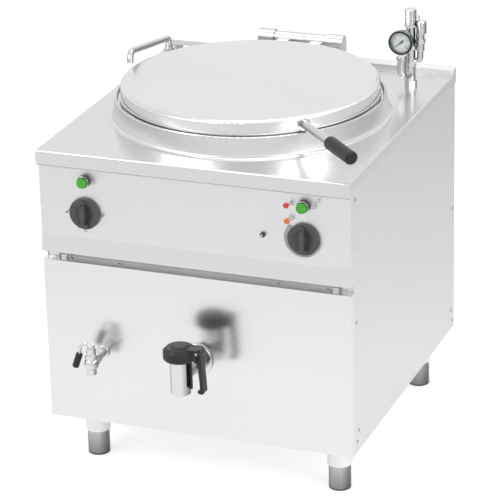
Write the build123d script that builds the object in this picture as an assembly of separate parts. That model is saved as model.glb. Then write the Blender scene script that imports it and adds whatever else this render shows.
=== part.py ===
from build123d import *
import math
import os

os.makedirs("parts", exist_ok=True)

# Free-standing steam jacketed kettle, in millimetres. +Z is up and -Y is the front.
# The origin is on the floor, under the middle of the worktop.

# ---------------------------------------------------------------- driving sizes
# Cabinet
width = 800.0
depth = 850.0
worktop_height = 850.0
leg_height = 142.0
worktop_sheet = 2.0
panel_sheet = 1.5
front_lip = 37.0
side_lip = 25.0
edge_bend = 4.0
corner_bend = 1.5
panel_setback = 11.0
panel_inset = 2.4
front_return = 25.0
sheet_gap = 0.3
upstand_step = 11.6
upstand_height = 17.6
upstand_depth = 22.0

# Front panels
control_panel_height = 226.0
control_bend_height = 45.0
control_bend_flare = 5.0
panel_split = 23.0
door_flange = 40.0
door_foot_flange = 20.0
flange_line_setback = 22.0
slot_length = 24.0
slot_width = 12.0
slot_edge = 48.0
outer_screw_edge = 68.0
inner_screw_edge = 194.0
door_notch_width = 8.0
door_notch_from_left = 360.0

panel_hole_radius = 2.2
panel_hole_from_front = 15.7
panel_hole_above_bend = 48.0

# Base frame
post_size = 30.0
tube_wall = 2.0
gusset_plate = 4.0
top_ring_drop = 30.0
drip_strip_gap = 0.5
drip_strip_thickness = 1.5
drip_strip_below = 12.0
rail_height = 30.0
rail_depth = 18.0
hook_rise = 8.0
hook_width = 14.0
hook_thickness = 2.0

# Feet
foot_radius = 28.0
socket_wall = 2.7
socket_length = 77.0
foot_side_inset = 76.0
foot_front_inset = 126.0
foot_rear_inset = 79.0
foot_entry = 45.0
foot_edge = 4.0
foot_clearance = 0.3
stem_radius = 12.0

# Kettle
kettle_setback = 10.0
vessel_wall = 3.0
vessel_depth = 438.0
dish_rise = 58.0
vessel_rim_width = 9.0
vessel_rim_sheet = 2.0
mouth_rise = 56.0
gutter_drop = 10.0
collar_rise = 52.0
gutter_width = 26.0
rim_width = 5.0
collar_flare = 9.0
collar_root = 10.0
jacket_gap = 24.0
jacket_wall = 3.0
jacket_top_drop = 70.0
jacket_below_vessel = 124.0
jacket_dish_rise = 45.0
insulation_thickness = 22.0
drain_radius = 21.0
drain_wall = 3.0
drain_drop = 64.3
drain_bend = 28.0
strainer_radius = 40.0
strainer_height = 18.0
heater_rod_radius = 3.2
heater_rod_gap = 12.0
heater_pitch = 21.0
heater_length = 430.0
heater_rod_drop = 12.0
heater_neck_radius = 42.0
heater_neck_length = 14.0
heater_neck_start = 197.0
heater_flange_radius = 52.0
heater_flange_thickness = 8.0
heater_above_jacket = 42.0

# Lid
lid_rim_gap = 14.3
lid_sheet = 1.5
lid_height = 40.0
lid_edge = 5.0
lid_step = 1.2
lid_step_inset = 11.0
lid_step_slope = 4.0
lid_bead_height = 9.5
lid_bead_width = 2.5
lid_seat_gap = 1.0
lid_overlap = 11.0
liner_edge = 14.0
lid_handle_angle = -46.0
lid_rod_radius = 10.5
lid_rod_rise = 23.5
lid_rod_boss = 15.0
lid_rod_boss_length = 6.0
grip_start = 146.0
grip_length = 120.0
grip_radius = 16.5
grip_edge = 4.0
grip_tang_radius = 7.0

# Lid hinge
hinge_behind_rim = 44.0
hinge_upstand_gap = 13.2
hinge_rise = 72.0
hinge_half_span = 72.0
hinge_block_width = 43.0
hinge_block_radius = 19.5
hinge_tube_radius = 16.0
hinge_tube_bore = 11.2
hinge_shaft_radius = 8.0
hinge_bush_length = 14.0
hinge_end_gap = 1.0
running_fit = 0.05
hinge_arm_inset = 45.0
hinge_arm_width = 30.0
hinge_arm_thickness = 8.0
spring_wire = 2.0
spring_turns = 22

# Swivel spout
spout_side_inset = 25.0
spout_rear_inset = 53.0
spout_radius = 8.2
spout_bore = 6.6
spout_riser = 39.0
spout_end_side_inset = 65.4
spout_end_rear_inset = 404.5
spout_end_height = 115.2
spout_drop = 28.6
spout_bend = 20.0
spout_nut_radius = 14.0
spout_nut_height = 12.0
spout_stem_length = 24.0

# Controls on the panel
selector_inset = 121.5
regulator_inset = 117.5
knob_drop = 153.0
knob_radius = 39.5
knob_thickness = 8.0
knob_edge = 2.5
knob_gap = 1.5
knob_dish_radius = 25.0
knob_dish_depth = 5.0
grip_bar_width = 11.0
grip_bar_height = 14.0
grip_bar_above = 34.0
grip_bar_below = 31.0
grip_heel_width = 23.0
grip_heel_length = 9.0
pointer_width = 6.0
pointer_length = 8.0
pointer_depth = 1.2
spindle_radius = 5.0
switch_size = 48.0
switch_depth = 46.0
left_button_inset = 123.5
right_button_inset = 117.0
button_drop = 69.5
button_radius = 12.7
button_head = 4.5
button_stem_radius = 11.0
button_travel = 4.0
button_collar_radius = 15.7
button_collar_length = 14.5
contact_block_size = 30.0
contact_block_depth = 24.0
lamp_radius = 7.0
lamp_dome = 4.5
lamp_body_radius = 5.5
lamp_body_length = 20.0
red_lamp_inset = 162.0
red_lamp_drop = 74.0
orange_lamp_inset = 161.0
orange_lamp_drop = 113.0
reset_inset = 221.0
reset_drop = 154.0
reset_radius = 3.0
reset_length = 14.0
reset_travel = 3.0
reset_bush_radius = 6.0
reset_bush_length = 7.0
thermostat_size = 32.0

# Safety group on the worktop
safety_side_inset = 82.0
safety_rear_inset = 125.0
safety_pipe_radius = 12.0
safety_nut_radius = 16.0
safety_nut_height = 14.0
safety_pipe_height = 156.0
safety_feed_radius = 8.0
safety_feed_drop = 105.0
safety_feed_bend = 20.0
gauge_offset = 15.6
gauge_forward = 27.0
gauge_riser_radius = 11.0
gauge_riser_bend = 12.0
gauge_collar_radius = 13.5
gauge_collar_height = 8.0
gauge_neck_radius = 4.5
gauge_neck_length = 5.0
gauge_branch_height = 30.0
gauge_centre_height = 121.4
gauge_radius = 31.5
gauge_case_radius = 28.0
gauge_case_depth = 24.0
gauge_bezel_depth = 7.0
gauge_bezel_width = 5.5
gauge_dial_radius = 26.0
gauge_dial_thickness = 1.0
gauge_glass_thickness = 2.0
gauge_pivot_radius = 3.0
gauge_needle_length = 20.0
gauge_needle_tail = 8.0
gauge_needle_thickness = 0.8
gauge_zero_angle = 223.0
valve_flange_radius = 16.8
valve_flange_height = 6.0
valve_cap_radius = 14.5
valve_cap_height = 39.0
valve_stem_radius = 4.0
breaker_offset = 25.0
breaker_radius = 11.0
breaker_low = 92.0
breaker_high = 140.0
breaker_head_radius = 13.0
breaker_head_height = 34.0
breaker_branch_height = 64.0
breaker_tube_radius = 8.0
breaker_tube_bend = 14.0
breaker_pin_radius = 3.0
breaker_pin_height = 14.0

# Level cock
cock_inset = 152.0
cock_above_jacket = 46.0
cock_reach = 72.0
cock_flange_radius = 16.5
cock_flange_thickness = 6.0
cock_pipe_radius = 10.0
cock_pipe_bore = 6.0
cock_body_radius = 18.0
cock_bonnet_radius = 12.0
cock_bonnet_height = 41.0
cock_outlet_radius = 11.5
cock_outlet_bore = 8.0
cock_outlet_drop = 28.0
cock_lever_radius = 3.5
cock_lever_bend = 6.0
cock_lever_reach = 28.0
cock_lever_rise = 10.0
cock_lever_out = 16.0
cock_sleeve_radius = 8.5
cock_sleeve_length = 37.0
cock_sleeve_drop = 18.0
cock_hub_radius = 9.0
cock_spigot_radius = 3.0
cock_hub_height = 8.0

# Drain tap
tap_x = 0.0
tap_reach = 107.0
tap_flange_radius = 42.0
tap_flange_thickness = 7.0
tap_pipe_radius = 21.0
tap_radius = 25.0
tap_wall = 4.0
tap_below_axis = 42.2
tap_above_axis = 47.8
tap_foot_edge = 3.0
tap_cap_radius = 40.5
tap_cap_height = 32.0
tap_cap_edge = 9.0
tap_guard_inner = 25.7
tap_guard_width = 4.6
tap_guard_length = 80.0
tap_guard_depth = 6.0
tap_pivot_offset = 49.6
tap_pivot_rise = 25.0
tap_pin_radius = 3.0
tap_pin_head = 3.6
tap_pin_head_height = 1.5
tap_handle_arm = 24.0
tap_handle_above = 8.5
tap_handle_outer = 8.0
tap_handle_depth = 24.0
tap_handle_thickness = 9.5
tap_handle_splay = 3.6
tap_handle_length = 107.5
tap_handle_foot = 7.0
tap_handle_foot_height = 10.0
tap_boss_radius = 21.5
tap_boss_rise = 4.5
tap_cheek = 5.0
tap_ear_radius = 8.0
tap_slot_gap = 0.6
tap_plunger_radius = 5.0
tap_stem_rise = 10.0
tap_plunger_disc_radius = 19.6
tap_plunger_disc_height = 8.0
tap_plunger_travel = 12.0

# Services at the rear
inlet_radius = 13.2
inlet_length = 14.0
inlet_shoulder = 2.5
inlet_shoulder_rise = 1.0
inlet_rise = 108.0
cold_inlet_inset = 150.0
hot_inlet_inset = 210.0
inlet_body_size = 44.0
terminal_box_width = 110.0
terminal_box_depth = 45.0
terminal_box_height = 120.0
terminal_box_inset = 120.0
terminal_box_rise = 60.0
gland_radius = 14.0
gland_length = 18.0
gland_bore = 7.5

# Fasteners
screw_head_radius = 4.5
screw_head_height = 1.6
screw_shank_radius = 2.0
screw_hole_clearance = 0.2
screw_length = 6.0

# ---------------------------------------------------------------- derived places
left = -width / 2
right = width / 2
front = -depth / 2
rear = depth / 2
worktop_under = worktop_height - worktop_sheet
front_face = front + panel_setback
front_inner = front_face + panel_sheet
control_top = worktop_under - sheet_gap
control_bottom = worktop_height - front_lip - control_panel_height
control_bend = control_bottom + control_bend_height
door_top = control_bottom - panel_split
side_outer = width / 2 - panel_inset
side_inner = side_outer - panel_sheet
side_front = front_face + front_return
frame_side = side_inner - sheet_gap
frame_front = side_front + 2 * panel_sheet
rear_panel_outer = rear - worktop_sheet - sheet_gap
rear_panel_inner = rear_panel_outer - panel_sheet
frame_rear = rear_panel_inner - sheet_gap
tray_top = leg_height + panel_sheet
frame_bottom = tray_top + sheet_gap
frame_top = worktop_under - sheet_gap

hinge_y = rear - upstand_depth - hinge_upstand_gap - hinge_block_radius
kettle_y = -kettle_setback
rim_radius = hinge_y - hinge_behind_rim - kettle_y
gutter_outer = rim_radius - rim_width
lip_radius = gutter_outer - gutter_width - worktop_sheet
vessel_radius = lip_radius - sheet_gap - vessel_wall
lid_radius = rim_radius - lid_rim_gap
mouth_top = worktop_height + mouth_rise
gutter_floor = worktop_height + collar_rise - gutter_drop
rim_top = worktop_height + collar_rise
vessel_top = mouth_top + sheet_gap + vessel_rim_sheet
vessel_low = vessel_top - vessel_depth - dish_rise
drain_height = vessel_low - drain_drop
jacket_radius = vessel_radius + vessel_wall + jacket_gap + jacket_wall
jacket_top = worktop_height - jacket_top_drop
jacket_low = vessel_low - jacket_below_vessel

lid_seat = vessel_top + lid_seat_gap
lid_skirt_bottom = mouth_top - lid_overlap
lid_top = lid_skirt_bottom + lid_height
hinge_z = worktop_height + hinge_rise
lid_rod_z = lid_skirt_bottom + lid_rod_rise

cock_x = left + cock_inset
cock_z = jacket_low + cock_above_jacket
safety_x = right - safety_side_inset
safety_y = rear - safety_rear_inset
spout_x = left + spout_side_inset
spout_y = rear - spout_rear_inset
tap_y = front_face - tap_reach
inlet_z = leg_height + inlet_rise
selector_x = left + selector_inset
regulator_x = right - regulator_inset
knob_z = worktop_height - knob_drop
button_z = worktop_height - button_drop
foot_places = [
    (side * (width / 2 - foot_side_inset), y)
    for y in (front + foot_front_inset, rear - foot_rear_inset)
    for side in (-1, 1)
]


# ---------------------------------------------------------------- shape helpers
def block(x, y, z):
    """A box between low and high values on each axis."""
    middle = [(low + high) / 2 for low, high in (x, y, z)]
    return Pos(*middle) * Box(x[1] - x[0], y[1] - y[0], z[1] - z[0])


def hollow_tube(x, y, z):
    """A square tube as its outer box and the void inside it, closed at both ends."""
    wall = tube_wall
    inner = [(low + wall, high - wall) for low, high in (x, y, z)]
    return block(x, y, z), block(*inner)


def bar(start, end, radius):
    """A round bar between two points."""
    path = Vector(*end) - Vector(*start)
    place = Plane(origin=start, z_dir=path)
    return place * Pos(0, 0, path.length / 2) * Cylinder(radius, path.length)


def bent_bar(points, radius, bend):
    """A round bar along straight runs joined by tangent bends."""
    start = Plane(origin=points[0], z_dir=Vector(*points[1]) - Vector(*points[0]))
    return sweep(start * Circle(radius), path=FilletPolyline(*points, radius=bend))


def turned(profile, x=0.0, y=0.0):
    """A body turned about an upright axis. Points are (radius, height[, corner radius])."""
    face = make_face(Polyline([(point[0], 0, point[1]) for point in profile], close=True))
    for corner in sorted({point[2] for point in profile if len(point) == 3}):
        places = [Vector(point[0], 0, point[1]) for point in profile if point[2:] == (corner,)]
        chosen = [v for v in face.vertices() if any((Vector(v) - p).length < 1e-6 for p in places)]
        face = fillet(chosen, corner)
    return Pos(x, y, 0) * revolve(face, Axis.Z)


def bent_sheet(points, x):
    """A sheet folded in the side view, (y, z) points, between two x values."""
    face = make_face(Polyline([(x[0], y, z) for y, z in points], close=True))
    return extrude(face, x[1] - x[0], dir=(1, 0, 0))


def dish_radius(chord, rise):
    """The radius of a dished end from its half width and its rise."""
    return (chord * chord + rise * rise) / (2 * rise)


def dished_plug(radius, top, low, sphere):
    """A solid upright cylinder with a spherical lower end whose lowest point is at low."""
    centre = low + sphere
    halfway = radius / 2
    knuckle = centre - math.sqrt(sphere ** 2 - radius ** 2)
    midpoint = centre - math.sqrt(sphere ** 2 - halfway ** 2)
    outline = [
        ThreePointArc((0, 0, low), (halfway, 0, midpoint), (radius, 0, knuckle)),
        Line((radius, 0, knuckle), (radius, 0, top)),
        Line((radius, 0, top), (0, 0, top)),
        Line((0, 0, top), (0, 0, low)),
    ]
    return Pos(0, kettle_y, 0) * revolve(make_face(outline), Axis.Z)


def upright(x, y, low, high, radius):
    """A vertical round bar."""
    return bar((x, y, low), (x, y, high), radius)


def into_panel(x, z, near, far, radius):
    """A round bar along Y, from near to far."""
    return bar((x, near, z), (x, far, z), radius)


def hexagon(x, y, low, high, radius):
    """An upright hexagon nut blank, radius to its corners, with flats to the left and right."""
    return Pos(x, y, low) * extrude(RegularPolygon(radius, 6, rotation=30), high - low)


def save(node, *pieces):
    """Write one node, a single solid or a group of separate ones."""
    solids = [solid for piece in pieces for solid in piece.solids()]
    shape = solids[0] if len(solids) == 1 else Compound(solids)
    shape.label = node
    export_step(shape, f"parts/{node}.step")


# ---------------------------------------------------------------- cabinet
def side_screw_places():
    """(y, z) of the fasteners along the front and rear edges of a side panel."""
    front_column = side_front + 11
    rear_column = rear_panel_inner - 14
    low = leg_height + 28
    high = worktop_height - side_lip - 29
    middle = (low + high) / 2
    return [
        (front_column, low),
        (front_column + 12, low + 25),
        (front_column, middle),
        (front_column, high),
        (rear_column, low - 6),
        (rear_column - 10, low + 26),
        (rear_column, middle),
    ]


def flange_screw_places():
    """(x, y) of the screws in the top flange of the lower front panel."""
    y = front_face + flange_line_setback
    edges = (outer_screw_edge, inner_screw_edge)
    return [(side * (width / 2 - edge), y) for side in (-1, 1) for edge in edges]


def make_base_frame():
    low_ring = (frame_bottom, frame_bottom + post_size)
    post_z = (frame_bottom, frame_top)
    side_ring = (frame_top - top_ring_drop - post_size, frame_top - top_ring_drop)
    front_beam = (frame_top - post_size, frame_top)
    rail_top = door_top - panel_sheet - sheet_gap
    full_x = (-frame_side, frame_side)
    full_y = (frame_front, frame_rear)
    front_y = (frame_front, frame_front + post_size)
    rear_y = (frame_rear - post_size, frame_rear)
    rail_y = (frame_front - rail_depth, frame_front + tube_wall)
    tubes = [
        hollow_tube(full_x, front_y, low_ring),
        hollow_tube(full_x, rear_y, low_ring),
        hollow_tube(full_x, front_y, front_beam),
        hollow_tube(full_x, rear_y, side_ring),
        hollow_tube(full_x, rail_y, (rail_top - rail_height, rail_top)),
    ]
    for side in (-1, 1):
        edge = sorted((side * frame_side, side * (frame_side - post_size)))
        tubes += [hollow_tube(edge, y, post_z) for y in (front_y, rear_y)]
        tubes += [hollow_tube(edge, full_y, z) for z in (low_ring, side_ring)]
    frame = tubes[0][0].fuse(*[outer for outer, void in tubes[1:]])
    frame = frame.cut(*[void for outer, void in tubes])
    additions = []
    hook_y = front_face + flange_line_setback
    hook_span = (hook_y - hook_thickness / 2, hook_y + hook_thickness / 2)
    for side in (-1, 1):
        hook_x = side * (width / 2 - slot_edge)
        half = hook_width / 2
        additions.append(block((hook_x - half, hook_x + half), hook_span, (rail_top - tube_wall, door_top + hook_rise)))
    strip_front = front_face + door_flange + drip_strip_gap
    strip_half = frame_side - post_size + tube_wall / 2
    strip_y = (strip_front, strip_front + drip_strip_thickness)
    additions.append(block((-strip_half, strip_half), strip_y, (door_top - drip_strip_below, control_bend)))
    for x, y in foot_places:
        side = math.copysign(1, x)
        plate_x = sorted((side * frame_side, x - side * foot_radius))
        plate_y = (frame_front, y + foot_radius) if y < 0 else (y - foot_radius, frame_rear)
        plate_top = frame_bottom + gusset_plate
        additions.append(block(plate_x, plate_y, (frame_bottom, plate_top)))
        additions.append(upright(x, y, leg_height - gusset_plate, plate_top, stem_radius))
        bore_radius = foot_radius + foot_clearance
        socket_low = leg_height - socket_length
        socket = upright(x, y, socket_low, leg_height, bore_radius + socket_wall)
        additions.append(socket - upright(x, y, socket_low, leg_height - gusset_plate, bore_radius))
    screw_radius = screw_shank_radius + screw_hole_clearance
    holes = []
    for y, z in side_screw_places():
        for side in (-1, 1):
            deep = side * (side_outer - screw_length - 1)
            holes.append(bar((side * (side_outer + 1), y, z), (deep, y, z), screw_radius))
    for x, y in flange_screw_places():
        holes.append(upright(x, y, door_top - screw_length - 1, door_top, screw_radius))
    return frame.fuse(*additions).cut(*holes)


def make_bottom_tray():
    tray = block((-frame_side, frame_side), (frame_front, frame_rear), (leg_height, tray_top))
    holes = [upright(x, y, leg_height - 1, tray_top + 1, stem_radius + sheet_gap) for x, y in foot_places]
    vent_length, vent_width, vent_pitch = 160.0, 8.0, 30.0
    for row in range(-3, 4):
        y = row * vent_pitch
        vent = block((-vent_length / 2, vent_length / 2), (y, y + vent_width), (leg_height - 1, tray_top + 1))
        holes.append(vent)
    return tray.cut(*holes)


def make_side_panel(side):
    span_x = sorted((side * side_outer, side * side_inner))
    panel = block(span_x, (side_front + sheet_gap, frame_rear), (leg_height, control_top))
    radius = screw_shank_radius + screw_hole_clearance
    reach = (side * (side_inner - 2), side * (side_outer + 2))
    holes = [bar((reach[0], y, z), (reach[1], y, z), radius) for y, z in side_screw_places()]
    return panel.cut(*holes)


def make_side_screws(side):
    screws = []
    for y, z in side_screw_places():
        head_end = side * (side_outer + screw_head_height)
        head = bar((side * side_outer, y, z), (head_end, y, z), screw_head_radius)
        head = fillet(head.edges().filter_by(GeomType.CIRCLE).group_by(Axis.X)[-1 if side > 0 else 0], 1.0)
        shank_end = side * (side_outer - screw_length)
        screws.append(head + bar((side * side_outer, y, z), (shank_end, y, z), screw_shank_radius))
    return screws


def make_rear_panel():
    panel = block((-side_outer, side_outer), (rear_panel_inner, rear_panel_outer), (leg_height, control_top))
    holes = []
    for inset in (cold_inlet_inset, hot_inlet_inset):
        hole_radius = inlet_radius + inlet_shoulder + sheet_gap
        holes.append(into_panel(left + inset, inlet_z, rear, rear_panel_inner, hole_radius))
    gland_x = right - terminal_box_inset
    gland_z = leg_height + terminal_box_rise + terminal_box_height / 2
    holes.append(into_panel(gland_x, gland_z, rear, rear_panel_inner, gland_radius + sheet_gap))
    louvre_length, louvre_width, louvre_pitch = 220.0, 6.0, 22.0
    for row in range(8):
        z = control_top - 3 * side_lip - row * louvre_pitch
        span = (-louvre_length / 2, louvre_length / 2)
        holes.append(block(span, (rear_panel_inner, rear), (z - louvre_width, z)))
    return panel.cut(*holes)


def make_worktop():
    sheet = worktop_sheet
    top = worktop_height
    under = worktop_under
    step_y = rear - upstand_depth
    plate = block((left, right), (front, step_y + sheet), (under, top))
    front_edge = block((left, right), (front, front + sheet), (top - front_lip, top))
    folded = bent_sheet(
        [
            (step_y, under),
            (step_y, top + upstand_step),
            (rear, top + upstand_height),
            (rear, top - side_lip),
            (rear - sheet, top - side_lip),
            (rear - sheet, top + upstand_height - 1.5 * sheet),
            (step_y + sheet, top + upstand_step - sheet),
            (step_y + sheet, under),
        ],
        (left, right),
    )
    parts = [front_edge, folded]
    for side in (-1, 1):
        span = sorted((side * width / 2, side * (width / 2 - sheet)))
        parts.append(block(span, (front, rear), (top - side_lip, top)))
        end_cap = [
            (step_y, under),
            (step_y, top + upstand_step),
            (rear, top + upstand_height),
            (rear, under),
        ]
        parts.append(bent_sheet(end_cap, span))
    shell = plate.fuse(*parts)
    corners = shell.edges().filter_by(Axis.Z).filter_by_position(Axis.Y, front - 1, front + 1)
    outer_corners = [edge for edge in corners if abs(edge.center().X) > width / 2 - 0.1]
    shell = fillet(outer_corners, corner_bend)
    rims = [
        edge for edge in shell.edges().filter_by_position(Axis.Z, top - 0.1, top + 0.1)
        if edge.center().Y < front + 0.1 or (abs(edge.center().X) > width / 2 - 0.1 and edge.length > depth / 2)
    ]
    shell = fillet(rims, edge_bend)

    wall_foot = rim_radius + collar_flare
    opening = upright(0, kettle_y, under - 1, top + 1, wall_foot + collar_root)
    holes = [
        opening,
        upright(spout_x, spout_y, under - 1, top + 1, spout_radius + sheet_gap),
        upright(safety_x, safety_y, under - 1, top + 1, safety_feed_radius + sheet_gap),
    ]
    collar = turned(
        [
            (wall_foot + collar_root + 0.5, top),
            (wall_foot, top, collar_root - 0.5),
            (rim_radius, rim_top, 2.4),
            (gutter_outer, rim_top, 2.4),
            (gutter_outer - 1, gutter_floor, 2.0),
            (lip_radius + sheet, gutter_floor, 2.0),
            (lip_radius + sheet, mouth_top),
            (lip_radius, mouth_top),
            (lip_radius, gutter_floor - sheet),
            (rim_radius - sheet, gutter_floor - sheet),
            (wall_foot - sheet, under),
            (wall_foot + collar_root + 0.5, under),
        ],
        y=kettle_y,
    )
    return shell.cut(*holes).fuse(collar)


def make_control_panel():
    t = panel_sheet
    flare = control_bend_flare
    face = bent_sheet(
        [
            (front_face, control_top),
            (front_face, control_bend),
            (front_face - flare, control_bottom),
            (front_face + front_return - 1, control_bottom),
            (front_face + front_return - 1, control_bottom + t),
            (front_face - flare + t, control_bottom + t),
            (front_face + t, control_bend),
            (front_face + t, control_top),
        ],
        (-side_outer, side_outer),
    )
    returns = []
    for side in (-1, 1):
        span = sorted((side * side_outer, side * side_inner))
        end = bent_sheet(
            [
                (front_face, control_top),
                (front_face, control_bend),
                (front_face - flare, control_bottom),
                (side_front, control_bottom),
                (side_front, control_top),
            ],
            span,
        )
        returns.append(end)
    panel = face.fuse(*returns)
    near, far = front_face - 1, front_inner + 1
    holes = []
    for x in (selector_x, regulator_x):
        holes.append(into_panel(x, knob_z, near, far, spindle_radius + 1))
    for x in (left + left_button_inset, right - right_button_inset):
        holes.append(into_panel(x, button_z, near, far, button_stem_radius + 1))
    lamps = ((red_lamp_inset, red_lamp_drop), (orange_lamp_inset, orange_lamp_drop))
    for inset, drop in lamps:
        holes.append(into_panel(right - inset, worktop_height - drop, near, far, lamp_body_radius + sheet_gap))
    holes.append(into_panel(right - reset_inset, worktop_height - reset_drop, near, far, reset_bush_radius + sheet_gap))
    hole_y, hole_z = front_face + panel_hole_from_front, control_bend + panel_hole_above_bend
    holes.append(bar((left, hole_y, hole_z), (right, hole_y, hole_z), panel_hole_radius))
    return panel.cut(*holes)


def make_front_panel():
    t = panel_sheet
    half = side_outer
    parts = [block((-half, half), (front_face, front_inner), (leg_height, door_top))]
    parts.append(block((-half, half), (front_face, front_face + door_flange), (door_top - t, door_top)))
    parts.append(block((-half, half), (front_face, front_face + door_foot_flange), (leg_height, leg_height + t)))
    for side in (-1, 1):
        span = sorted((side * half, side * (half - t)))
        parts.append(block(span, (front_face, side_front), (leg_height, door_top)))
    panel = parts[0].fuse(*parts[1:])
    outer = [
        edge for edge in panel.edges().filter_by(Axis.Z)
        if abs(edge.center().Y - front_face) < 0.1 and abs(edge.center().X) > half - 0.1
    ]
    panel = fillet(outer, 1.2)
    holes = []
    for side in (-1, 1):
        x = side * (width / 2 - slot_edge)
        y = front_face + flange_line_setback
        span = (x - slot_length / 2, x + slot_length / 2)
        holes.append(block(span, (y - slot_width / 2, y + slot_width / 2), (door_top - 2 * t, door_top + 1)))
    for x, y in flange_screw_places():
        holes.append(upright(x, y, door_top - 2 * t, door_top + 1, screw_shank_radius + screw_hole_clearance))
    holes.append(into_panel(tap_x, drain_height, front_face - 1, front_inner + 1, drain_radius + sheet_gap))
    holes.append(into_panel(cock_x, cock_z, front_face - 1, front_inner + 1, cock_pipe_radius + sheet_gap))
    notch = left + door_notch_from_left
    notch_z = (leg_height - 1, leg_height + t)
    holes.append(block((notch, notch + door_notch_width), (front_face - 1, front_inner + 1), notch_z))
    for side in (-1, 1):
        post_x = sorted((side * (frame_side - post_size - sheet_gap), side * width / 2))
        post_y = (side_front, front_face + door_flange + 1)
        holes.append(block(post_x, post_y, (door_top - 2 * t, door_top + 1)))
    return panel.cut(*holes)


def make_panel_screws():
    screws = []
    for x, y in flange_screw_places():
        head = upright(x, y, door_top, door_top + screw_head_height, screw_head_radius)
        shank = upright(x, y, door_top - screw_length, door_top, screw_shank_radius)
        slot = block((x - 3, x + 3), (y - 0.6, y + 0.6), (door_top + 0.8, door_top + 2))
        screws.append(head + shank - slot)
    return screws


def make_foot(x, y):
    top = leg_height - socket_length + foot_entry
    outline = [
        (0, 0), (foot_radius - foot_edge, 0), (foot_radius, foot_edge), (foot_radius, top), (0, top),
    ]
    return turned(outline, x, y)


# ---------------------------------------------------------------- kettle
def make_inner_vessel():
    outer = vessel_radius + vessel_wall
    sphere = dish_radius(outer, dish_rise)
    pot = dished_plug(outer, vessel_top, vessel_low, sphere)
    inside = dished_plug(vessel_radius, vessel_top + 1, vessel_low + vessel_wall, sphere - vessel_wall)
    rim = turned(
        [
            (vessel_radius, vessel_top - vessel_rim_sheet),
            (vessel_radius + vessel_rim_width, vessel_top - vessel_rim_sheet),
            (vessel_radius + vessel_rim_width, vessel_top),
            (vessel_radius, vessel_top),
        ],
        y=kettle_y,
    )
    bore = drain_radius - drain_wall
    hole = upright(0, kettle_y, vessel_low - 1, vessel_low + 3 * vessel_wall, bore)
    return pot.fuse(rim).cut(inside, hole)


def make_jacket_shell():
    sphere = dish_radius(jacket_radius, jacket_dish_rise)
    inner_radius = jacket_radius - jacket_wall
    shell = dished_plug(jacket_radius, jacket_top, jacket_low, sphere)
    inside = dished_plug(inner_radius, jacket_top - jacket_wall, jacket_low + jacket_wall, sphere - jacket_wall)
    neck_z = jacket_low + heater_above_jacket
    neck_start = kettle_y + heater_neck_start
    neck_end = kettle_y + jacket_radius + heater_neck_length
    neck = into_panel(0, neck_z, neck_start, neck_end, heater_neck_radius)
    bore = into_panel(0, neck_z, neck_start + jacket_wall, neck_end + 1, heater_neck_radius - jacket_wall)
    wall = kettle_y - jacket_radius
    drain_hole = into_panel(tap_x, drain_height, wall - 1, kettle_y, drain_radius + sheet_gap)
    cock_hole = into_panel(cock_x, cock_z, wall - 1, kettle_y, cock_pipe_radius + sheet_gap)
    feed_hole = bar(*safety_feed_run(), safety_feed_radius + sheet_gap)
    mouth = upright(0, kettle_y, jacket_top - 2 * jacket_wall, jacket_top + 1, lip_radius)
    return shell.fuse(neck).cut(inside, bore, drain_hole, cock_hole, feed_hole, mouth)


def make_insulation():
    inner = jacket_radius + sheet_gap
    outer = inner + insulation_thickness
    low = jacket_low + jacket_dish_rise
    blanket = turned([(inner, low), (outer, low), (outer, jacket_top - 2), (inner, jacket_top - 2)], y=kettle_y)
    holes = [
        into_panel(tap_x, drain_height, kettle_y - outer - 1, kettle_y, drain_radius + sheet_gap),
        into_panel(cock_x, cock_z, kettle_y - outer - 1, kettle_y, cock_pipe_radius + sheet_gap),
        into_panel(0, jacket_low + heater_above_jacket, kettle_y, kettle_y + outer + 1, heater_flange_radius + sheet_gap),
    ]
    holes.append(bar(*safety_feed_run(), safety_feed_radius + sheet_gap))
    return blanket.cut(*holes)


def safety_feed_run():
    """The level pipe from under the safety group to just inside the jacket's wall."""
    z = worktop_height - safety_feed_drop
    away = Vector(safety_x, safety_y - kettle_y, 0)
    unit = away.normalized()
    end = unit * (jacket_radius - 2 * jacket_wall) + Vector(0, kettle_y, z)
    return (safety_x, safety_y, z), (end.X, end.Y, end.Z)


def make_heating_elements():
    neck_z = jacket_low + heater_above_jacket
    rod_z = neck_z - heater_rod_drop
    seat = kettle_y + jacket_radius + heater_neck_length + sheet_gap
    near = seat - heater_length
    flange = into_panel(0, neck_z, seat, seat + heater_flange_thickness, heater_flange_radius)
    pieces = []
    for index in (-1, 0, 1):
        x = index * heater_pitch
        for half in (-1, 1):
            leg_x = x + half * heater_rod_gap / 2
            pieces.append(into_panel(leg_x, rod_z, seat + heater_flange_thickness + 12, near, heater_rod_radius))
        rod = Plane.XZ * Pos(heater_rod_gap / 2, 0, 0) * Circle(heater_rod_radius)
        bend = revolve(rod, Axis.Z, 180)
        pieces.append(Pos(x, near, rod_z) * Rot(0, 0, 180) * bend)
    return flange.fuse(*pieces)


def make_drain_pipe():
    neck_top = vessel_low - sheet_gap
    end = front_face - tap_flange_thickness + 1
    route = [
        (tap_x, kettle_y, neck_top),
        (tap_x, kettle_y, drain_height),
        (tap_x, end, drain_height),
    ]
    pipe = bent_bar(route, drain_radius, drain_bend)
    return pipe.cut(bent_bar(route, drain_radius - drain_wall, drain_bend))


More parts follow.
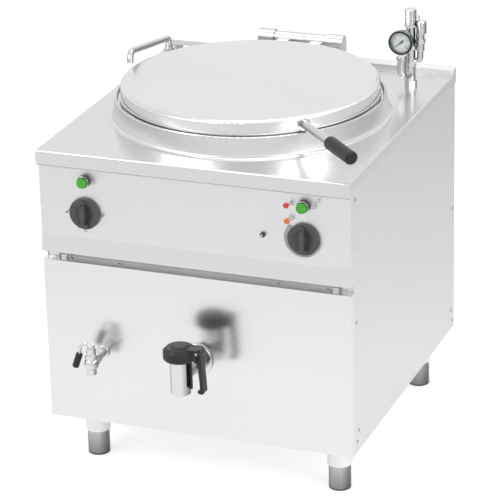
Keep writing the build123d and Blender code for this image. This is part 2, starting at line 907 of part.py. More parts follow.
def make_drain_strainer():
    outer = dish_radius(vessel_radius + vessel_wall, dish_rise)
    seat = vessel_low + outer - math.sqrt((outer - vessel_wall) ** 2 - strainer_radius ** 2) + sheet_gap
    wall = 1.5
    cup = upright(0, kettle_y, seat, seat + strainer_height, strainer_radius)
    cup = fillet(cup.edges().filter_by(GeomType.CIRCLE).group_by(Axis.Z)[-1], 2)
    cup = cup.cut(upright(0, kettle_y, seat - 1, seat + strainer_height - wall, strainer_radius - wall))
    holes = []
    for ring, count in ((10, 6), (20, 10), (30, 14)):
        for index in range(count):
            angle = 2 * math.pi * index / count
            x, y = ring * math.cos(angle), kettle_y + ring * math.sin(angle)
            holes.append(upright(x, y, seat, seat + strainer_height + 1, 2.5))
    return cup.cut(*holes)


# ---------------------------------------------------------------- lid
def lid_outline():
    """The solid space inside the lid's skirt and its bead."""
    bead_top = lid_skirt_bottom + lid_bead_height
    skirt = upright(0, kettle_y, lid_skirt_bottom - 20, lid_top + 20, lid_radius)
    bead = upright(0, kettle_y, lid_skirt_bottom - 20, bead_top, lid_radius + lid_bead_width + sheet_gap)
    return skirt.fuse(bead)


def make_lid_shell():
    step_in = lid_radius - lid_step_inset
    step_out = step_in + lid_step_slope
    t = lid_sheet
    ring_top = lid_top - lid_step
    bead_top = lid_skirt_bottom + lid_bead_height
    return turned(
        [
            (0, lid_top),
            (step_in, lid_top),
            (step_out, ring_top),
            (lid_radius, ring_top, lid_edge),
            (lid_radius, bead_top),
            (lid_radius + lid_bead_width, bead_top - lid_bead_width / 2),
            (lid_radius + lid_bead_width, lid_skirt_bottom),
            (lid_radius - t, lid_skirt_bottom),
            (lid_radius - t, ring_top - t, lid_edge - t),
            (step_out, ring_top - t),
            (step_in, lid_top - t),
            (0, lid_top - t),
        ],
        y=kettle_y,
    )


def make_lid_liner():
    t = lid_sheet
    outer = lid_radius - lid_sheet - sheet_gap
    flat = vessel_radius + vessel_rim_width + 2
    high = lid_top - lid_step - lid_sheet - lid_edge
    return turned(
        [
            (0, lid_seat),
            (flat, lid_seat, 2.0),
            (outer, lid_seat + liner_edge),
            (outer, high),
            (outer - t, high),
            (outer - t, lid_seat + liner_edge + t / 2),
            (flat - t, lid_seat + t, 1.0),
            (0, lid_seat + t),
        ],
        y=kettle_y,
    )


def handle_point(reach, z=None):
    """A point on the lid handle's axis, reach from the kettle's axis."""
    angle = math.radians(lid_handle_angle)
    height = lid_rod_z if z is None else z
    return (reach * math.cos(angle), kettle_y + reach * math.sin(angle), height)


def make_lid_handle_rod():
    grip_from = lid_radius + grip_start
    grip_to = grip_from + grip_length
    rod = bar(handle_point(lid_radius - 4), handle_point(grip_from), lid_rod_radius)
    boss = bar(handle_point(lid_radius - 4), handle_point(lid_radius + lid_rod_boss_length), lid_rod_boss)
    tang = bar(handle_point(grip_from), handle_point(grip_to - 15), grip_tang_radius)
    return rod.fuse(boss, tang).cut(lid_outline())


def make_lid_handle_grip():
    grip_from = lid_radius + grip_start
    grip_to = grip_from + grip_length
    grip = bar(handle_point(grip_from), handle_point(grip_to), grip_radius)
    grip = fillet(grip.edges().filter_by(GeomType.CIRCLE), grip_edge)
    return grip.cut(bar(handle_point(grip_from - 1), handle_point(grip_to - 15), grip_tang_radius))


def make_lid_hinge_tube():
    half = hinge_half_span - hinge_end_gap
    centre = (0, hinge_y, hinge_z)
    arms = []
    for side in (-1, 1):
        x = side * hinge_arm_inset
        span = (x - hinge_arm_width / 2, x + hinge_arm_width / 2)
        low = hinge_z - hinge_arm_thickness
        high = hinge_z
        arms.append(block(span, (kettle_y + lid_radius - 12, hinge_y), (low, high)))
    tube = bar((-half, hinge_y, hinge_z), (half, hinge_y, hinge_z), hinge_tube_radius)
    tube = tube.fuse(*arms)
    inner = half - hinge_bush_length
    bores = [
        bar((-inner, hinge_y, hinge_z), (inner, hinge_y, hinge_z), hinge_tube_bore),
        bar((-half - 1, hinge_y, hinge_z), (half + 1, hinge_y, hinge_z), hinge_shaft_radius + running_fit),
        lid_outline(),
    ]
    return tube.cut(*bores)


def make_hinge_blocks():
    blocks = []
    for side in (-1, 1):
        x = sorted((side * hinge_half_span, side * (hinge_half_span + hinge_block_width)))
        y = (hinge_y - hinge_block_radius, hinge_y + hinge_block_radius)
        pillar = block(x, y, (worktop_height, hinge_z))
        head = bar((x[0], hinge_y, hinge_z), (x[1], hinge_y, hinge_z), hinge_block_radius)
        outer = side * (hinge_half_span + hinge_block_width - 6)
        inner = side * (hinge_half_span - 1)
        bore = bar((inner, hinge_y, hinge_z), (outer, hinge_y, hinge_z), hinge_shaft_radius)
        blocks.append(pillar.fuse(head).cut(bore))
    return blocks


def make_hinge_shaft():
    half = hinge_half_span + hinge_block_width - 6
    return bar((-half, hinge_y, hinge_z), (half, hinge_y, hinge_z), hinge_shaft_radius)


def make_balance_springs():
    """Two close-wound torsion springs on the shaft, inside the hinge tube."""
    radius = hinge_shaft_radius + 0.5 + spring_wire / 2
    pitch = spring_wire
    springs = []
    for side in (-1, 1):
        start = 6.0
        outline = []
        for turn in range(spring_turns):
            low, high = start + turn * pitch, start + (turn + 1) * pitch
            crest = (radius + spring_wire / 2, 0, (low + high) / 2)
            outline.append(ThreePointArc((radius + 0.3, 0, low), crest, (radius + 0.3, 0, high)))
        end = start + spring_turns * pitch
        outline.append(Line((radius + 0.3, 0, end), (radius - spring_wire / 2, 0, end)))
        outline.append(Line((radius - spring_wire / 2, 0, end), (radius - spring_wire / 2, 0, start)))
        outline.append(Line((radius - spring_wire / 2, 0, start), (radius + 0.3, 0, start)))
        coil = revolve(make_face(outline), Axis.Z)
        springs.append(Pos(0, hinge_y, hinge_z) * Rot(0, 90 * side, 0) * coil)
    return springs


# ---------------------------------------------------------------- swivel spout
def make_spout_base():
    nut_top = worktop_height + spout_nut_height
    stem_top = nut_top + spout_nut_height / 2
    shape = hexagon(spout_x, spout_y, worktop_height, nut_top, spout_nut_radius)
    shape = shape.fuse(upright(spout_x, spout_y, nut_top, stem_top, spout_radius + 1.5))
    shape = shape.fuse(upright(spout_x, spout_y, worktop_under - spout_stem_length, nut_top, spout_radius))
    back_nut = worktop_under - sheet_gap
    shape = shape.fuse(hexagon(spout_x, spout_y, back_nut - 8, back_nut, spout_nut_radius))
    bore = upright(spout_x, spout_y, worktop_under - spout_stem_length - 1, stem_top + 1, spout_bore)
    return shape.cut(bore)


def make_spout_tube():
    start = worktop_height + 1.5 * spout_nut_height + sheet_gap
    elbow = worktop_height + spout_riser
    end_x = left + spout_end_side_inset
    end_y = rear - spout_end_rear_inset
    end_z = worktop_height + spout_end_height
    route = [
        (spout_x, spout_y, start),
        (spout_x, spout_y, elbow),
        (end_x, end_y, end_z),
        (end_x, end_y, end_z - spout_drop),
    ]
    path = FilletPolyline(*route, radius=spout_bend)
    plane = Plane(origin=route[0], z_dir=(0, 0, 1))
    outer = sweep(plane * Circle(spout_radius), path=path)
    inner = sweep(plane * Circle(spout_bore), path=path)
    nut = upright(spout_x, spout_y, start, start + 5, spout_radius + 3)
    return outer.fuse(nut).cut(inner)


# ---------------------------------------------------------------- controls
def make_knob(x):
    back = front_face - knob_gap
    face = back - knob_thickness
    crest = face - grip_bar_height
    skirt = into_panel(x, knob_z, back, face, knob_radius)
    skirt = fillet(skirt.edges().filter_by(GeomType.CIRCLE).group_by(Axis.Y)[0], knob_edge)
    sphere = dish_radius(knob_dish_radius, knob_dish_depth)
    dish = Pos(x, face + knob_dish_depth - sphere, knob_z) * Sphere(sphere)
    low, high = knob_z - grip_bar_below, knob_z + grip_bar_above
    half = grip_bar_width / 2
    grip = block((x - half, x + half), (crest, back - 1), (low, high))
    grip = fillet(grip.edges().filter_by(Axis.Y).group_by(Axis.Z)[-1], half - 1)
    heel_half = grip_heel_width / 2
    heel = block((x - heel_half, x + heel_half), (crest, back - 1), (low, low + grip_heel_length))
    grip = grip.fuse(heel)
    grip = fillet(grip.edges().group_by(Axis.Y)[0], 1.5)
    tip = high - pointer_depth
    flat = Plane(origin=(x, crest - 1, 0), x_dir=(1, 0, 0), z_dir=(0, -1, 0))
    pointer = make_face(
        Polyline(
            [(0, tip), (-pointer_width / 2, tip - pointer_length), (pointer_width / 2, tip - pointer_length)],
            close=True,
        )
    )
    pointer = extrude(flat * pointer, -1 - pointer_depth)
    spindle = into_panel(x, knob_z, back - 1, front_inner + 12, spindle_radius)
    return skirt.cut(dish).fuse(grip, spindle).cut(pointer)


def make_switch(x, depth_behind):
    near = front_inner + sheet_gap
    half = switch_size / 2
    body = block((x - half, x + half), (near, near + depth_behind), (knob_z - half, knob_z + half))
    body = fillet(body.edges().filter_by(Axis.Y), 4)
    bore = into_panel(x, knob_z, near - 1, near + 14, spindle_radius + sheet_gap)
    return body.cut(bore)


def make_button(x):
    collar_front = front_face - button_collar_length
    head_back = collar_front - button_travel - 0.5
    head_front = head_back - button_head
    head = into_panel(x, button_z, head_back, head_front, button_radius)
    head = fillet(head.edges().filter_by(GeomType.CIRCLE).group_by(Axis.Y)[0], 1.2)
    stem = into_panel(x, button_z, front_inner + 2, head_back, button_stem_radius)
    return head.fuse(stem)


def make_button_collar(x):
    near = front_face - button_collar_length
    collar = into_panel(x, button_z, front_face, near, button_collar_radius)
    collar = fillet(collar.edges().filter_by(GeomType.CIRCLE).group_by(Axis.Y)[0], 1.0)
    return collar.cut(into_panel(x, button_z, front_face + 1, near - 1, button_stem_radius + sheet_gap))


def make_contact_block(x):
    near = front_inner + button_travel + 3
    half = contact_block_size / 2
    return block((x - half, x + half), (near, near + contact_block_depth), (button_z - half, button_z + half))


def make_lamp(inset, drop):
    x, z = right - inset, worktop_height - drop
    lens = into_panel(x, z, front_face, front_face - lamp_dome, lamp_radius)
    lens = fillet(lens.edges().filter_by(GeomType.CIRCLE).group_by(Axis.Y)[0], 0.7 * lamp_dome)
    return lens.fuse(into_panel(x, z, front_face, front_face + lamp_body_length, lamp_body_radius))


def make_reset_button():
    x, z = right - reset_inset, worktop_height - reset_drop
    pin = into_panel(x, z, front_inner + 6, front_face - reset_length, reset_radius)
    return fillet(pin.edges().filter_by(GeomType.CIRCLE).group_by(Axis.Y)[0], 1.0)


def make_safety_thermostat():
    x, z = right - reset_inset, worktop_height - reset_drop
    near = front_inner + sheet_gap
    half = thermostat_size / 2
    body = block((x - half, x + half), (near, near + thermostat_size), (z - half, z + half))
    body = body.fuse(into_panel(x, z, near + 1, front_face - reset_bush_length, reset_bush_radius))
    bore = into_panel(x, z, front_inner + 6 + reset_travel + 0.5, front_face - reset_bush_length - 1, reset_radius + running_fit)
    return body.cut(bore)


# ---------------------------------------------------------------- safety group
def make_safety_manifold():
    z0 = worktop_height
    nut = hexagon(safety_x, safety_y, z0, z0 + safety_nut_height, safety_nut_radius)
    main = upright(safety_x, safety_y, z0, z0 + safety_pipe_height, safety_pipe_radius)
    gauge_x = safety_x - gauge_offset
    gauge_y = safety_y - gauge_forward
    breaker_x = safety_x + breaker_offset
    branch_z = z0 + gauge_branch_height
    riser_top = z0 + gauge_centre_height - gauge_radius - gauge_neck_length
    pieces = [
        main,
        bent_bar(
            [(safety_x, safety_y, branch_z), (gauge_x, gauge_y, branch_z), (gauge_x, gauge_y, riser_top)],
            gauge_riser_radius, gauge_riser_bend,
        ),
        upright(gauge_x, gauge_y, riser_top, z0 + gauge_centre_height - gauge_case_radius, gauge_neck_radius),
        upright(gauge_x, gauge_y, riser_top - 2 - gauge_collar_height, riser_top - 2, gauge_collar_radius),
        bent_bar(
            [
                (safety_x, safety_y, z0 + breaker_branch_height),
                (breaker_x, safety_y, z0 + breaker_branch_height),
                (breaker_x, safety_y, z0 + breaker_low - 0.1),
            ],
            breaker_tube_radius, breaker_tube_bend,
        ),
    ]
    for low in (z0 + 52, z0 + 96):
        pieces.append(hexagon(safety_x, safety_y, low, low + 10, safety_pipe_radius + 3))
    feed_start, feed_end = safety_feed_run()
    pieces.append(bent_bar([(safety_x, safety_y, z0), feed_start, feed_end], safety_feed_radius, safety_feed_bend))
    return nut.fuse(*pieces)


def gauge_frame():
    """The gauge's axis x, height, front face y and back y."""
    x = safety_x - gauge_offset
    z = worktop_height + gauge_centre_height
    back = safety_y - gauge_forward + gauge_case_depth / 2
    return x, z, back - gauge_case_depth, back


def make_gauge_case():
    x, z, near, back = gauge_frame()
    bezel_back = near + gauge_bezel_depth
    case = into_panel(x, z, bezel_back, back, gauge_case_radius)
    bezel = into_panel(x, z, near, bezel_back, gauge_radius)
    bezel = fillet(bezel.edges().filter_by(GeomType.CIRCLE).group_by(Axis.Y)[0], 2.0)
    window = into_panel(x, z, near - 1, near + gauge_bezel_depth + 3, gauge_dial_radius)
    return case.fuse(bezel).cut(window)


def make_gauge_dial():
    x, z, near, back = gauge_frame()
    seat = near + gauge_bezel_depth + 3
    dial = into_panel(x, z, seat, seat - gauge_dial_thickness, gauge_dial_radius)
    pivot = into_panel(x, z, seat - gauge_dial_thickness, seat - gauge_dial_thickness - 3.0, 1.0)
    return dial.fuse(pivot)


def make_gauge_glass():
    x, z, near, back = gauge_frame()
    return into_panel(x, z, near + 1, near + 1 + gauge_glass_thickness, gauge_dial_radius - 0.02)


def make_gauge_needle():
    x, z, near, back = gauge_frame()
    dial_front = near + gauge_bezel_depth + 3 - gauge_dial_thickness
    y = dial_front - 1.4
    thick = gauge_needle_thickness
    blade = make_face(
        Polyline(
            [
                (-gauge_needle_tail, -1.6),
                (0, -1.4),
                (gauge_needle_length, -0.3),
                (gauge_needle_length, 0.3),
                (0, 1.4),
                (-gauge_needle_tail, 1.6),
            ],
            close=True,
        )
    )
    blade = extrude(blade, thick) + Cylinder(gauge_pivot_radius, thick, align=(Align.CENTER, Align.CENTER, Align.MIN))
    blade = blade - Cylinder(1.0 + running_fit, 10)
    plane = Plane(origin=(x, y, z), x_dir=(1, 0, 0), z_dir=(0, -1, 0))
    return plane * Rot(0, 0, gauge_zero_angle) * blade


def make_safety_valve():
    base = worktop_height + safety_pipe_height
    flange = hexagon(safety_x, safety_y, base, base + valve_flange_height, valve_flange_radius)
    stem = upright(safety_x, safety_y, base, base + valve_flange_height + 14, valve_stem_radius)
    return flange.fuse(stem)


def make_safety_valve_cap():
    base = worktop_height + safety_pipe_height + valve_flange_height + sheet_gap
    cap = upright(safety_x, safety_y, base, base + valve_cap_height, valve_cap_radius)
    cap = fillet(cap.edges().filter_by(GeomType.CIRCLE).group_by(Axis.Z)[-1], 2.0)
    flutes = []
    for index in range(12):
        angle = math.radians(30 * index)
        x = safety_x + (valve_cap_radius + 1.6) * math.cos(angle)
        y = safety_y + (valve_cap_radius + 1.6) * math.sin(angle)
        flutes.append(upright(x, y, base + 6, base + valve_cap_height + 1, 2.4))
    bore = upright(safety_x, safety_y, base - 1, base + 15, valve_stem_radius + running_fit)
    return cap.cut(bore, *flutes)


def make_vacuum_breaker():
    x = safety_x + breaker_offset
    z0 = worktop_height
    body = upright(x, safety_y, z0 + breaker_low, z0 + breaker_high, breaker_radius)
    body = fillet(body.edges().filter_by(GeomType.CIRCLE).group_by(Axis.Z)[0], 5.0)
    head_x = x + 3
    head_low = z0 + breaker_high
    head = upright(head_x, safety_y, head_low, head_low + breaker_head_height, breaker_head_radius)
    head = fillet(head.edges().filter_by(GeomType.CIRCLE).group_by(Axis.Z)[-1], 6.0)
    nut = hexagon(x, safety_y, z0 + breaker_high - 26, z0 + breaker_high - 16, breaker_radius + 3)
    pin_x = x - 4
    pin_low = head_low + breaker_head_height - 8
    pin = upright(pin_x, safety_y, pin_low, pin_low + breaker_pin_height + 6, breaker_pin_radius)
    return body.fuse(head, nut, pin)


# ---------------------------------------------------------------- level cock
def make_cock_body():
    y = front_face - cock_reach
    flange = into_panel(cock_x, cock_z, front_face, front_face - cock_flange_thickness, cock_flange_radius)
    flange = fillet(flange.edges().filter_by(GeomType.CIRCLE).group_by(Axis.Y)[0], 2.0)
    reach_in = math.sqrt(jacket_radius ** 2 - (abs(cock_x) + cock_pipe_radius) ** 2) - jacket_wall
    pipe = into_panel(cock_x, cock_z, kettle_y - reach_in, y, cock_pipe_radius)
    bonnet = upright(cock_x, y, cock_z, cock_z + cock_bonnet_height, cock_bonnet_radius)
    collar = upright(cock_x, y, cock_z + 14, cock_z + 24, cock_bonnet_radius + 4)
    outlet = upright(cock_x, y, cock_z - cock_outlet_drop, cock_z, cock_outlet_radius)
    nut = Pos(cock_x, y + cock_body_radius + 4, cock_z) * Rot(90, 0, 0) * extrude(RegularPolygon(16, 6), 9, both=True)
    shape = pipe.fuse(flange, Pos(cock_x, y, cock_z) * Sphere(cock_body_radius), bonnet, collar, outlet, nut)
    bonnet_top = cock_z + cock_bonnet_height
    spigot = upright(cock_x, y, bonnet_top - 1, bonnet_top + cock_hub_height - 1, cock_spigot_radius)
    bore = upright(cock_x, y, cock_z - cock_outlet_drop - 1, cock_z - cock_outlet_drop + 24, cock_outlet_bore)
    waterway = into_panel(cock_x, cock_z, kettle_y - reach_in + 1, y, cock_pipe_bore)
    return shape.fuse(spigot).cut(bore, waterway)


def cock_lever_points():
    """The lever's bends, from its hub down to the end of its sleeve."""
    y = front_face - cock_reach
    hub = cock_z + cock_bonnet_height + cock_hub_height / 2 + sheet_gap
    top = hub + cock_lever_rise / 2
    knee_x = cock_x - cock_lever_reach
    knee_z = top - cock_lever_rise
    sleeve_top = (knee_x - 3, y, knee_z - cock_sleeve_drop)
    fall = cock_sleeve_length
    out = cock_lever_out - 3
    sleeve_end = (sleeve_top[0] - out, y, sleeve_top[2] - fall)
    return (cock_x, y, hub), (cock_x - 16, y, top), (knee_x, y, knee_z), sleeve_top, sleeve_end


def cock_lever_bar():
    """The bent bar from the hub to its tip inside the sleeve."""
    *upper, sleeve_top, sleeve_end = cock_lever_points()
    tip = Vector(*sleeve_top) + (Vector(*sleeve_end) - Vector(*sleeve_top)) * 0.8
    return bent_bar([*upper, sleeve_top, (tip.X, tip.Y, tip.Z)], cock_lever_radius, cock_lever_bend)


def make_cock_lever():
    hub_point = cock_lever_points()[0]
    y = hub_point[1]
    low = hub_point[2] - cock_hub_height / 2
    hub = upright(cock_x, y, low, low + cock_hub_height, cock_hub_radius)
    spigot = upright(cock_x, y, low - 1, low + cock_hub_height - 0.7, cock_spigot_radius + running_fit)
    return hub.fuse(cock_lever_bar()).cut(spigot)


def make_cock_sleeve():
    sleeve_top, sleeve_end = cock_lever_points()[3:]
    sleeve = bar(sleeve_top, sleeve_end, cock_sleeve_radius)
    sleeve = fillet(sleeve.edges().filter_by(GeomType.CIRCLE), 2.5)
    return sleeve.cut(cock_lever_bar())


# ---------------------------------------------------------------- drain tap
def tap_levels():
    """The heights of the tap: its mouth, the underside of its cap, and the pivot."""
    mouth = drain_height - tap_below_axis
    cap_low = drain_height + tap_above_axis
    return mouth, cap_low, cap_low + tap_pivot_rise


def make_tap_body():
    mouth, cap_low, pivot = tap_levels()
    cylinder = upright(tap_x, tap_y, mouth, cap_low, tap_radius)
    cylinder = fillet(cylinder.edges().filter_by(GeomType.CIRCLE).group_by(Axis.Z)[0], tap_foot_edge)
    flange = into_panel(tap_x, drain_height, front_face, front_face - tap_flange_thickness, tap_flange_radius)
    flange = fillet(flange.edges().filter_by(GeomType.CIRCLE).group_by(Axis.Y)[0], 2.0)
    pipe = into_panel(tap_x, drain_height, front_face - tap_flange_thickness + 1, tap_y, tap_pipe_radius)
    nut = Pos(tap_x, front_face - 30, drain_height) * Rot(90, 0, 0) * extrude(RegularPolygon(31, 8), 8, both=True)
    shape = cylinder.fuse(flange, pipe, nut)
    bore = tap_radius - tap_wall
    waterway = into_panel(tap_x, drain_height, front_face + 1, tap_y, tap_pipe_radius - drain_wall)
    socket = into_panel(tap_x, drain_height, front_face + 1, front_face - tap_flange_thickness + 1, drain_radius + running_fit)
    outlet = upright(tap_x, tap_y, mouth - 1, cap_low - 6, bore)
    gland = upright(tap_x, tap_y, cap_low - 7, cap_low + 1, tap_plunger_radius + running_fit)
    return shape.cut(waterway, socket, outlet, gland)


def tap_handle_reach():
    """The largest distance of the handle's arm from its pivot."""
    return math.hypot(tap_handle_arm, tap_handle_above)


def make_tap_cap():
    mouth, cap_low, pivot = tap_levels()
    pivot_x = tap_x + tap_pivot_offset
    top = cap_low + tap_cap_height
    disc = turned(
        [
            (0, cap_low + 0.2),
            (tap_cap_radius - 3, cap_low + 0.2),
            (tap_cap_radius, cap_low + 4),
            (tap_cap_radius, top - tap_cap_edge),
            (tap_cap_radius - tap_cap_edge, top, 6.0),
            (tap_boss_radius, top, 3.0),
            (tap_boss_radius - 3, top + tap_boss_rise, 2.0),
            (0, top + tap_boss_rise),
        ],
        tap_x, tap_y,
    )
    half_slot = tap_handle_depth / 2 + tap_slot_gap
    ears = []
    for side in (-1, 1):
        y = sorted((tap_y + side * half_slot, tap_y + side * (half_slot + tap_cheek)))
        ears.append(bar((pivot_x, y[0], pivot), (pivot_x, y[1], pivot), tap_ear_radius))
        ears.append(block((tap_x + tap_radius, pivot_x), y, (cap_low + 6, pivot + tap_ear_radius)))
    guard_x = (tap_x + tap_guard_inner, tap_x + tap_guard_inner + tap_guard_width)
    guard_top = cap_low + 5
    guard = block(
        guard_x,
        (tap_y - tap_guard_depth / 2, tap_y + tap_guard_depth / 2),
        (guard_top - tap_guard_length, guard_top),
    )
    shape = disc.fuse(*ears, guard)
    slot_radius = tap_handle_reach() + tap_slot_gap
    well = bar((pivot_x, tap_y - half_slot, pivot), (pivot_x, tap_y + half_slot, pivot), slot_radius)
    mouth_above = block(
        (pivot_x - slot_radius, pivot_x + tap_cap_radius),
        (tap_y - half_slot, tap_y + half_slot),
        (pivot, top + tap_cap_radius),
    )
    hole = bar((pivot_x, tap_y - tap_cap_radius, pivot), (pivot_x, tap_y + tap_cap_radius, pivot), tap_pin_radius)
    pocket_top = cap_low + tap_stem_rise + tap_plunger_travel + 1
    pocket = upright(tap_x, tap_y, cap_low - 1, pocket_top, tap_plunger_radius + 2)
    return shape.cut(well, mouth_above, hole, pocket)


def make_tap_handle():
    mouth, cap_low, pivot = tap_levels()
    pivot_x = tap_x + tap_pivot_offset
    half = tap_handle_depth / 2
    outer = pivot_x + tap_handle_outer
    inner = outer - tap_handle_thickness
    low = pivot - tap_handle_length
    top = pivot + tap_handle_above
    under = pivot - tap_handle_above
    profile = [
        (pivot_x - tap_handle_arm, top),
        (outer, top),
        (outer, low + 4),
        (outer - 4, low),
        (inner, low),
        (inner - tap_handle_foot, low + 3),
        (inner - tap_handle_foot, low + tap_handle_foot_height - 2),
        (inner, low + tap_handle_foot_height + 2),
        (inner, under - 12),
        (inner - 6, under),
        (pivot_x - tap_handle_arm, under),
    ]
    front_view = Plane(origin=(0, tap_y - half, 0), x_dir=(1, 0, 0), z_dir=(0, -1, 0))
    shape = extrude(front_view * make_face(Polyline(profile, close=True)), -tap_handle_depth)
    shape = fillet(shape.edges().group_by(Axis.Y)[0], 1.2)
    hole = bar((pivot_x, tap_y - half - 1, pivot), (pivot_x, tap_y + half + 1, pivot), tap_pin_radius + running_fit)
    splay = Pos(pivot_x, 0, pivot) * Rot(0, -tap_handle_splay, 0) * Pos(-pivot_x, 0, -pivot)
    return splay * shape.cut(hole)


def make_tap_pin():
    mouth, cap_low, pivot = tap_levels()
    pivot_x = tap_x + tap_pivot_offset
    half = tap_handle_depth / 2 + tap_slot_gap + tap_cheek
    pin = bar((pivot_x, tap_y - half, pivot), (pivot_x, tap_y + half, pivot), tap_pin_radius)
    head = bar((pivot_x, tap_y - half, pivot), (pivot_x, tap_y - half - tap_pin_head_height, pivot), tap_pin_head)
    return pin.fuse(head)


def make_tap_plunger():
    mouth, cap_low, pivot = tap_levels()
    disc_low = mouth + 12
    disc = upright(tap_x, tap_y, disc_low, disc_low + tap_plunger_disc_height, tap_plunger_disc_radius)
    disc = fillet(disc.edges().filter_by(GeomType.CIRCLE), 2.0)
    stem = upright(tap_x, tap_y, disc_low, cap_low + tap_stem_rise, tap_plunger_radius)
    return disc.fuse(stem)


# ---------------------------------------------------------------- services
def make_inlet_valves():
    valves = []
    for inset in (cold_inlet_inset, hot_inlet_inset):
        x = left + inset
        half = inlet_body_size / 2
        near = rear_panel_inner - inlet_body_size
        body = block((x - half, x + half), (near, rear_panel_inner), (inlet_z - half, inlet_z + half))
        coil = upright(x, (near + rear_panel_inner) / 2, inlet_z + half, inlet_z + half + 30, half - 4)
        seat = rear_panel_outer + inlet_shoulder_rise
        shoulder = into_panel(x, inlet_z, rear_panel_inner, seat, inlet_radius + inlet_shoulder)
        thread = into_panel(x, inlet_z, rear_panel_inner, seat + inlet_length, inlet_radius)
        bore = into_panel(x, inlet_z, near + 10, seat + inlet_length + 1, inlet_radius - 4)
        valves.append(body.fuse(coil, shoulder, thread).cut(bore))
    return valves


def make_terminal_box():
    x = right - terminal_box_inset
    half = terminal_box_width / 2
    low = leg_height + terminal_box_rise
    box = block(
        (x - half, x + half),
        (rear_panel_inner - terminal_box_depth, rear_panel_inner),
        (low, low + terminal_box_height),
    )
    box = fillet(box.edges().filter_by(Axis.Y), 4)
    z = low + terminal_box_height / 2
    gland = into_panel(x, z, rear_panel_inner, rear_panel_outer + gland_length, gland_radius)
    bore = into_panel(x, z, rear_panel_inner - 20, rear_panel_outer + gland_length + 1, gland_bore)
    return box.fuse(gland).cut(bore)


# ---------------------------------------------------------------- write every node
save("base_frame", make_base_frame())
save("bottom_tray", make_bottom_tray())
save("side_panel_left", make_side_panel(-1))
save("side_panel_right", make_side_panel(1))
save("side_screws", *make_side_screws(-1), *make_side_screws(1))
save("rear_panel", make_rear_panel())
save("worktop", make_worktop())
save("control_panel", make_control_panel())
save("front_panel", make_front_panel())
save("panel_screws", *make_panel_screws())
for name, place in zip(("front_left", "front_right", "rear_left", "rear_right"), foot_places):
    save("foot_" + name, make_foot(*place))

save("inner_vessel", make_inner_vessel())
save("jacket_shell", make_jacket_shell())
save("insulation", make_insulation())
save("heating_elements", make_heating_elements())
save("drain_pipe", make_drain_pipe())
save("drain_strainer", make_drain_strainer())

save("lid_shell", make_lid_shell())
save("lid_liner", make_lid_liner())
save("lid_handle_rod", make_lid_handle_rod())
save("lid_handle_grip", make_lid_handle_grip())
save("lid_hinge_tube", make_lid_hinge_tube())
save("hinge_blocks", *make_hinge_blocks())
save("hinge_shaft", make_hinge_shaft())
save("balance_springs", *make_balance_springs())

save("spout_base", make_spout_base())
save("spout_tube", make_spout_tube())

save("selector_knob", make_knob(selector_x))
save("regulator_knob", make_knob(regulator_x))
save("selector_switch", make_switch(selector_x, switch_depth))
save("energy_regulator", make_switch(regulator_x, switch_depth + 8))
button_places = (left + left_button_inset, right - right_button_inset)
save("button_left", make_button(button_places[0]))
save("button_right", make_button(button_places[1]))
save("button_collars", *[make_button_collar(x) for x in button_places])
save("contact_blocks", *[make_contact_block(x) for x in button_places])
save("lamp_red", make_lamp(red_lamp_inset, red_lamp_drop))
save("lamp_orange", make_lamp(orange_lamp_inset, orange_lamp_drop))
save("reset_button", make_reset_button())
save("safety_thermostat", make_safety_thermostat())

save("safety_manifold", make_safety_manifold())
save("gauge_case", make_gauge_case())
save("gauge_dial", make_gauge_dial())
save("gauge_glass", make_gauge_glass())
save("gauge_needle", make_gauge_needle())
save("safety_valve", make_safety_valve())
save("safety_valve_cap", make_safety_valve_cap())
save("vacuum_breaker", make_vacuum_breaker())

save("cock_body", make_cock_body())
save("cock_lever", make_cock_lever())
save("cock_sleeve", make_cock_sleeve())

save("tap_body", make_tap_body())
save("tap_cap", make_tap_cap())
save("tap_handle", make_tap_handle())
save("tap_pin", make_tap_pin())
save("tap_plunger", make_tap_plunger())

save("inlet_valves", *make_inlet_valves())
save("terminal_box", make_terminal_box())
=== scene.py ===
import math

import bmesh
import bpy
from mathutils import Matrix, Vector


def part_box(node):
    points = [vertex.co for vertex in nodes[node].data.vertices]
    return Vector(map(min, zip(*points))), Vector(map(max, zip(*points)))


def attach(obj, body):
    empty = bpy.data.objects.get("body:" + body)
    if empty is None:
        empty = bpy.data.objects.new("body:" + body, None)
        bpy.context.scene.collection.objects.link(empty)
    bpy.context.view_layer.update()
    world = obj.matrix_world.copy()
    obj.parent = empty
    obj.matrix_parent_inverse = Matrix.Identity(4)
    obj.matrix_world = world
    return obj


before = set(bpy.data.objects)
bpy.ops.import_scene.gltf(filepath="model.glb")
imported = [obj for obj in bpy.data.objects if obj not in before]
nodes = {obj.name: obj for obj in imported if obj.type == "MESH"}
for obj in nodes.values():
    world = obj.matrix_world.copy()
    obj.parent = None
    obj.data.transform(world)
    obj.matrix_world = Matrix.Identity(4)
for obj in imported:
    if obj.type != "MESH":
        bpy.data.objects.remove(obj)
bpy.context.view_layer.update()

MM = 0.001


# ---------------------------------------------------------------- small helpers
def srgb(text):
    """An sRGB hex colour as the linear colour a shader takes."""
    parts = [int(text[i:i + 2], 16) / 255 for i in (1, 3, 5)]
    linear = [p / 12.92 if p <= 0.04045 else ((p + 0.055) / 1.055) ** 2.4 for p in parts]
    return (*linear, 1.0)


def add(tree, kind, settings=None, inputs=None):
    """Adds a node with its settings, and sets or links its inputs."""
    node = tree.nodes.new(kind)
    for key, value in (settings or {}).items():
        setattr(node, key, value)
    for key, value in (inputs or {}).items():
        if isinstance(value, bpy.types.NodeSocket):
            tree.links.new(value, node.inputs[key])
        else:
            node.inputs[key].default_value = value
    return node


def new_material(name):
    material = bpy.data.materials.new(name)
    material.use_nodes = True
    material.node_tree.nodes.clear()
    return material, material.node_tree


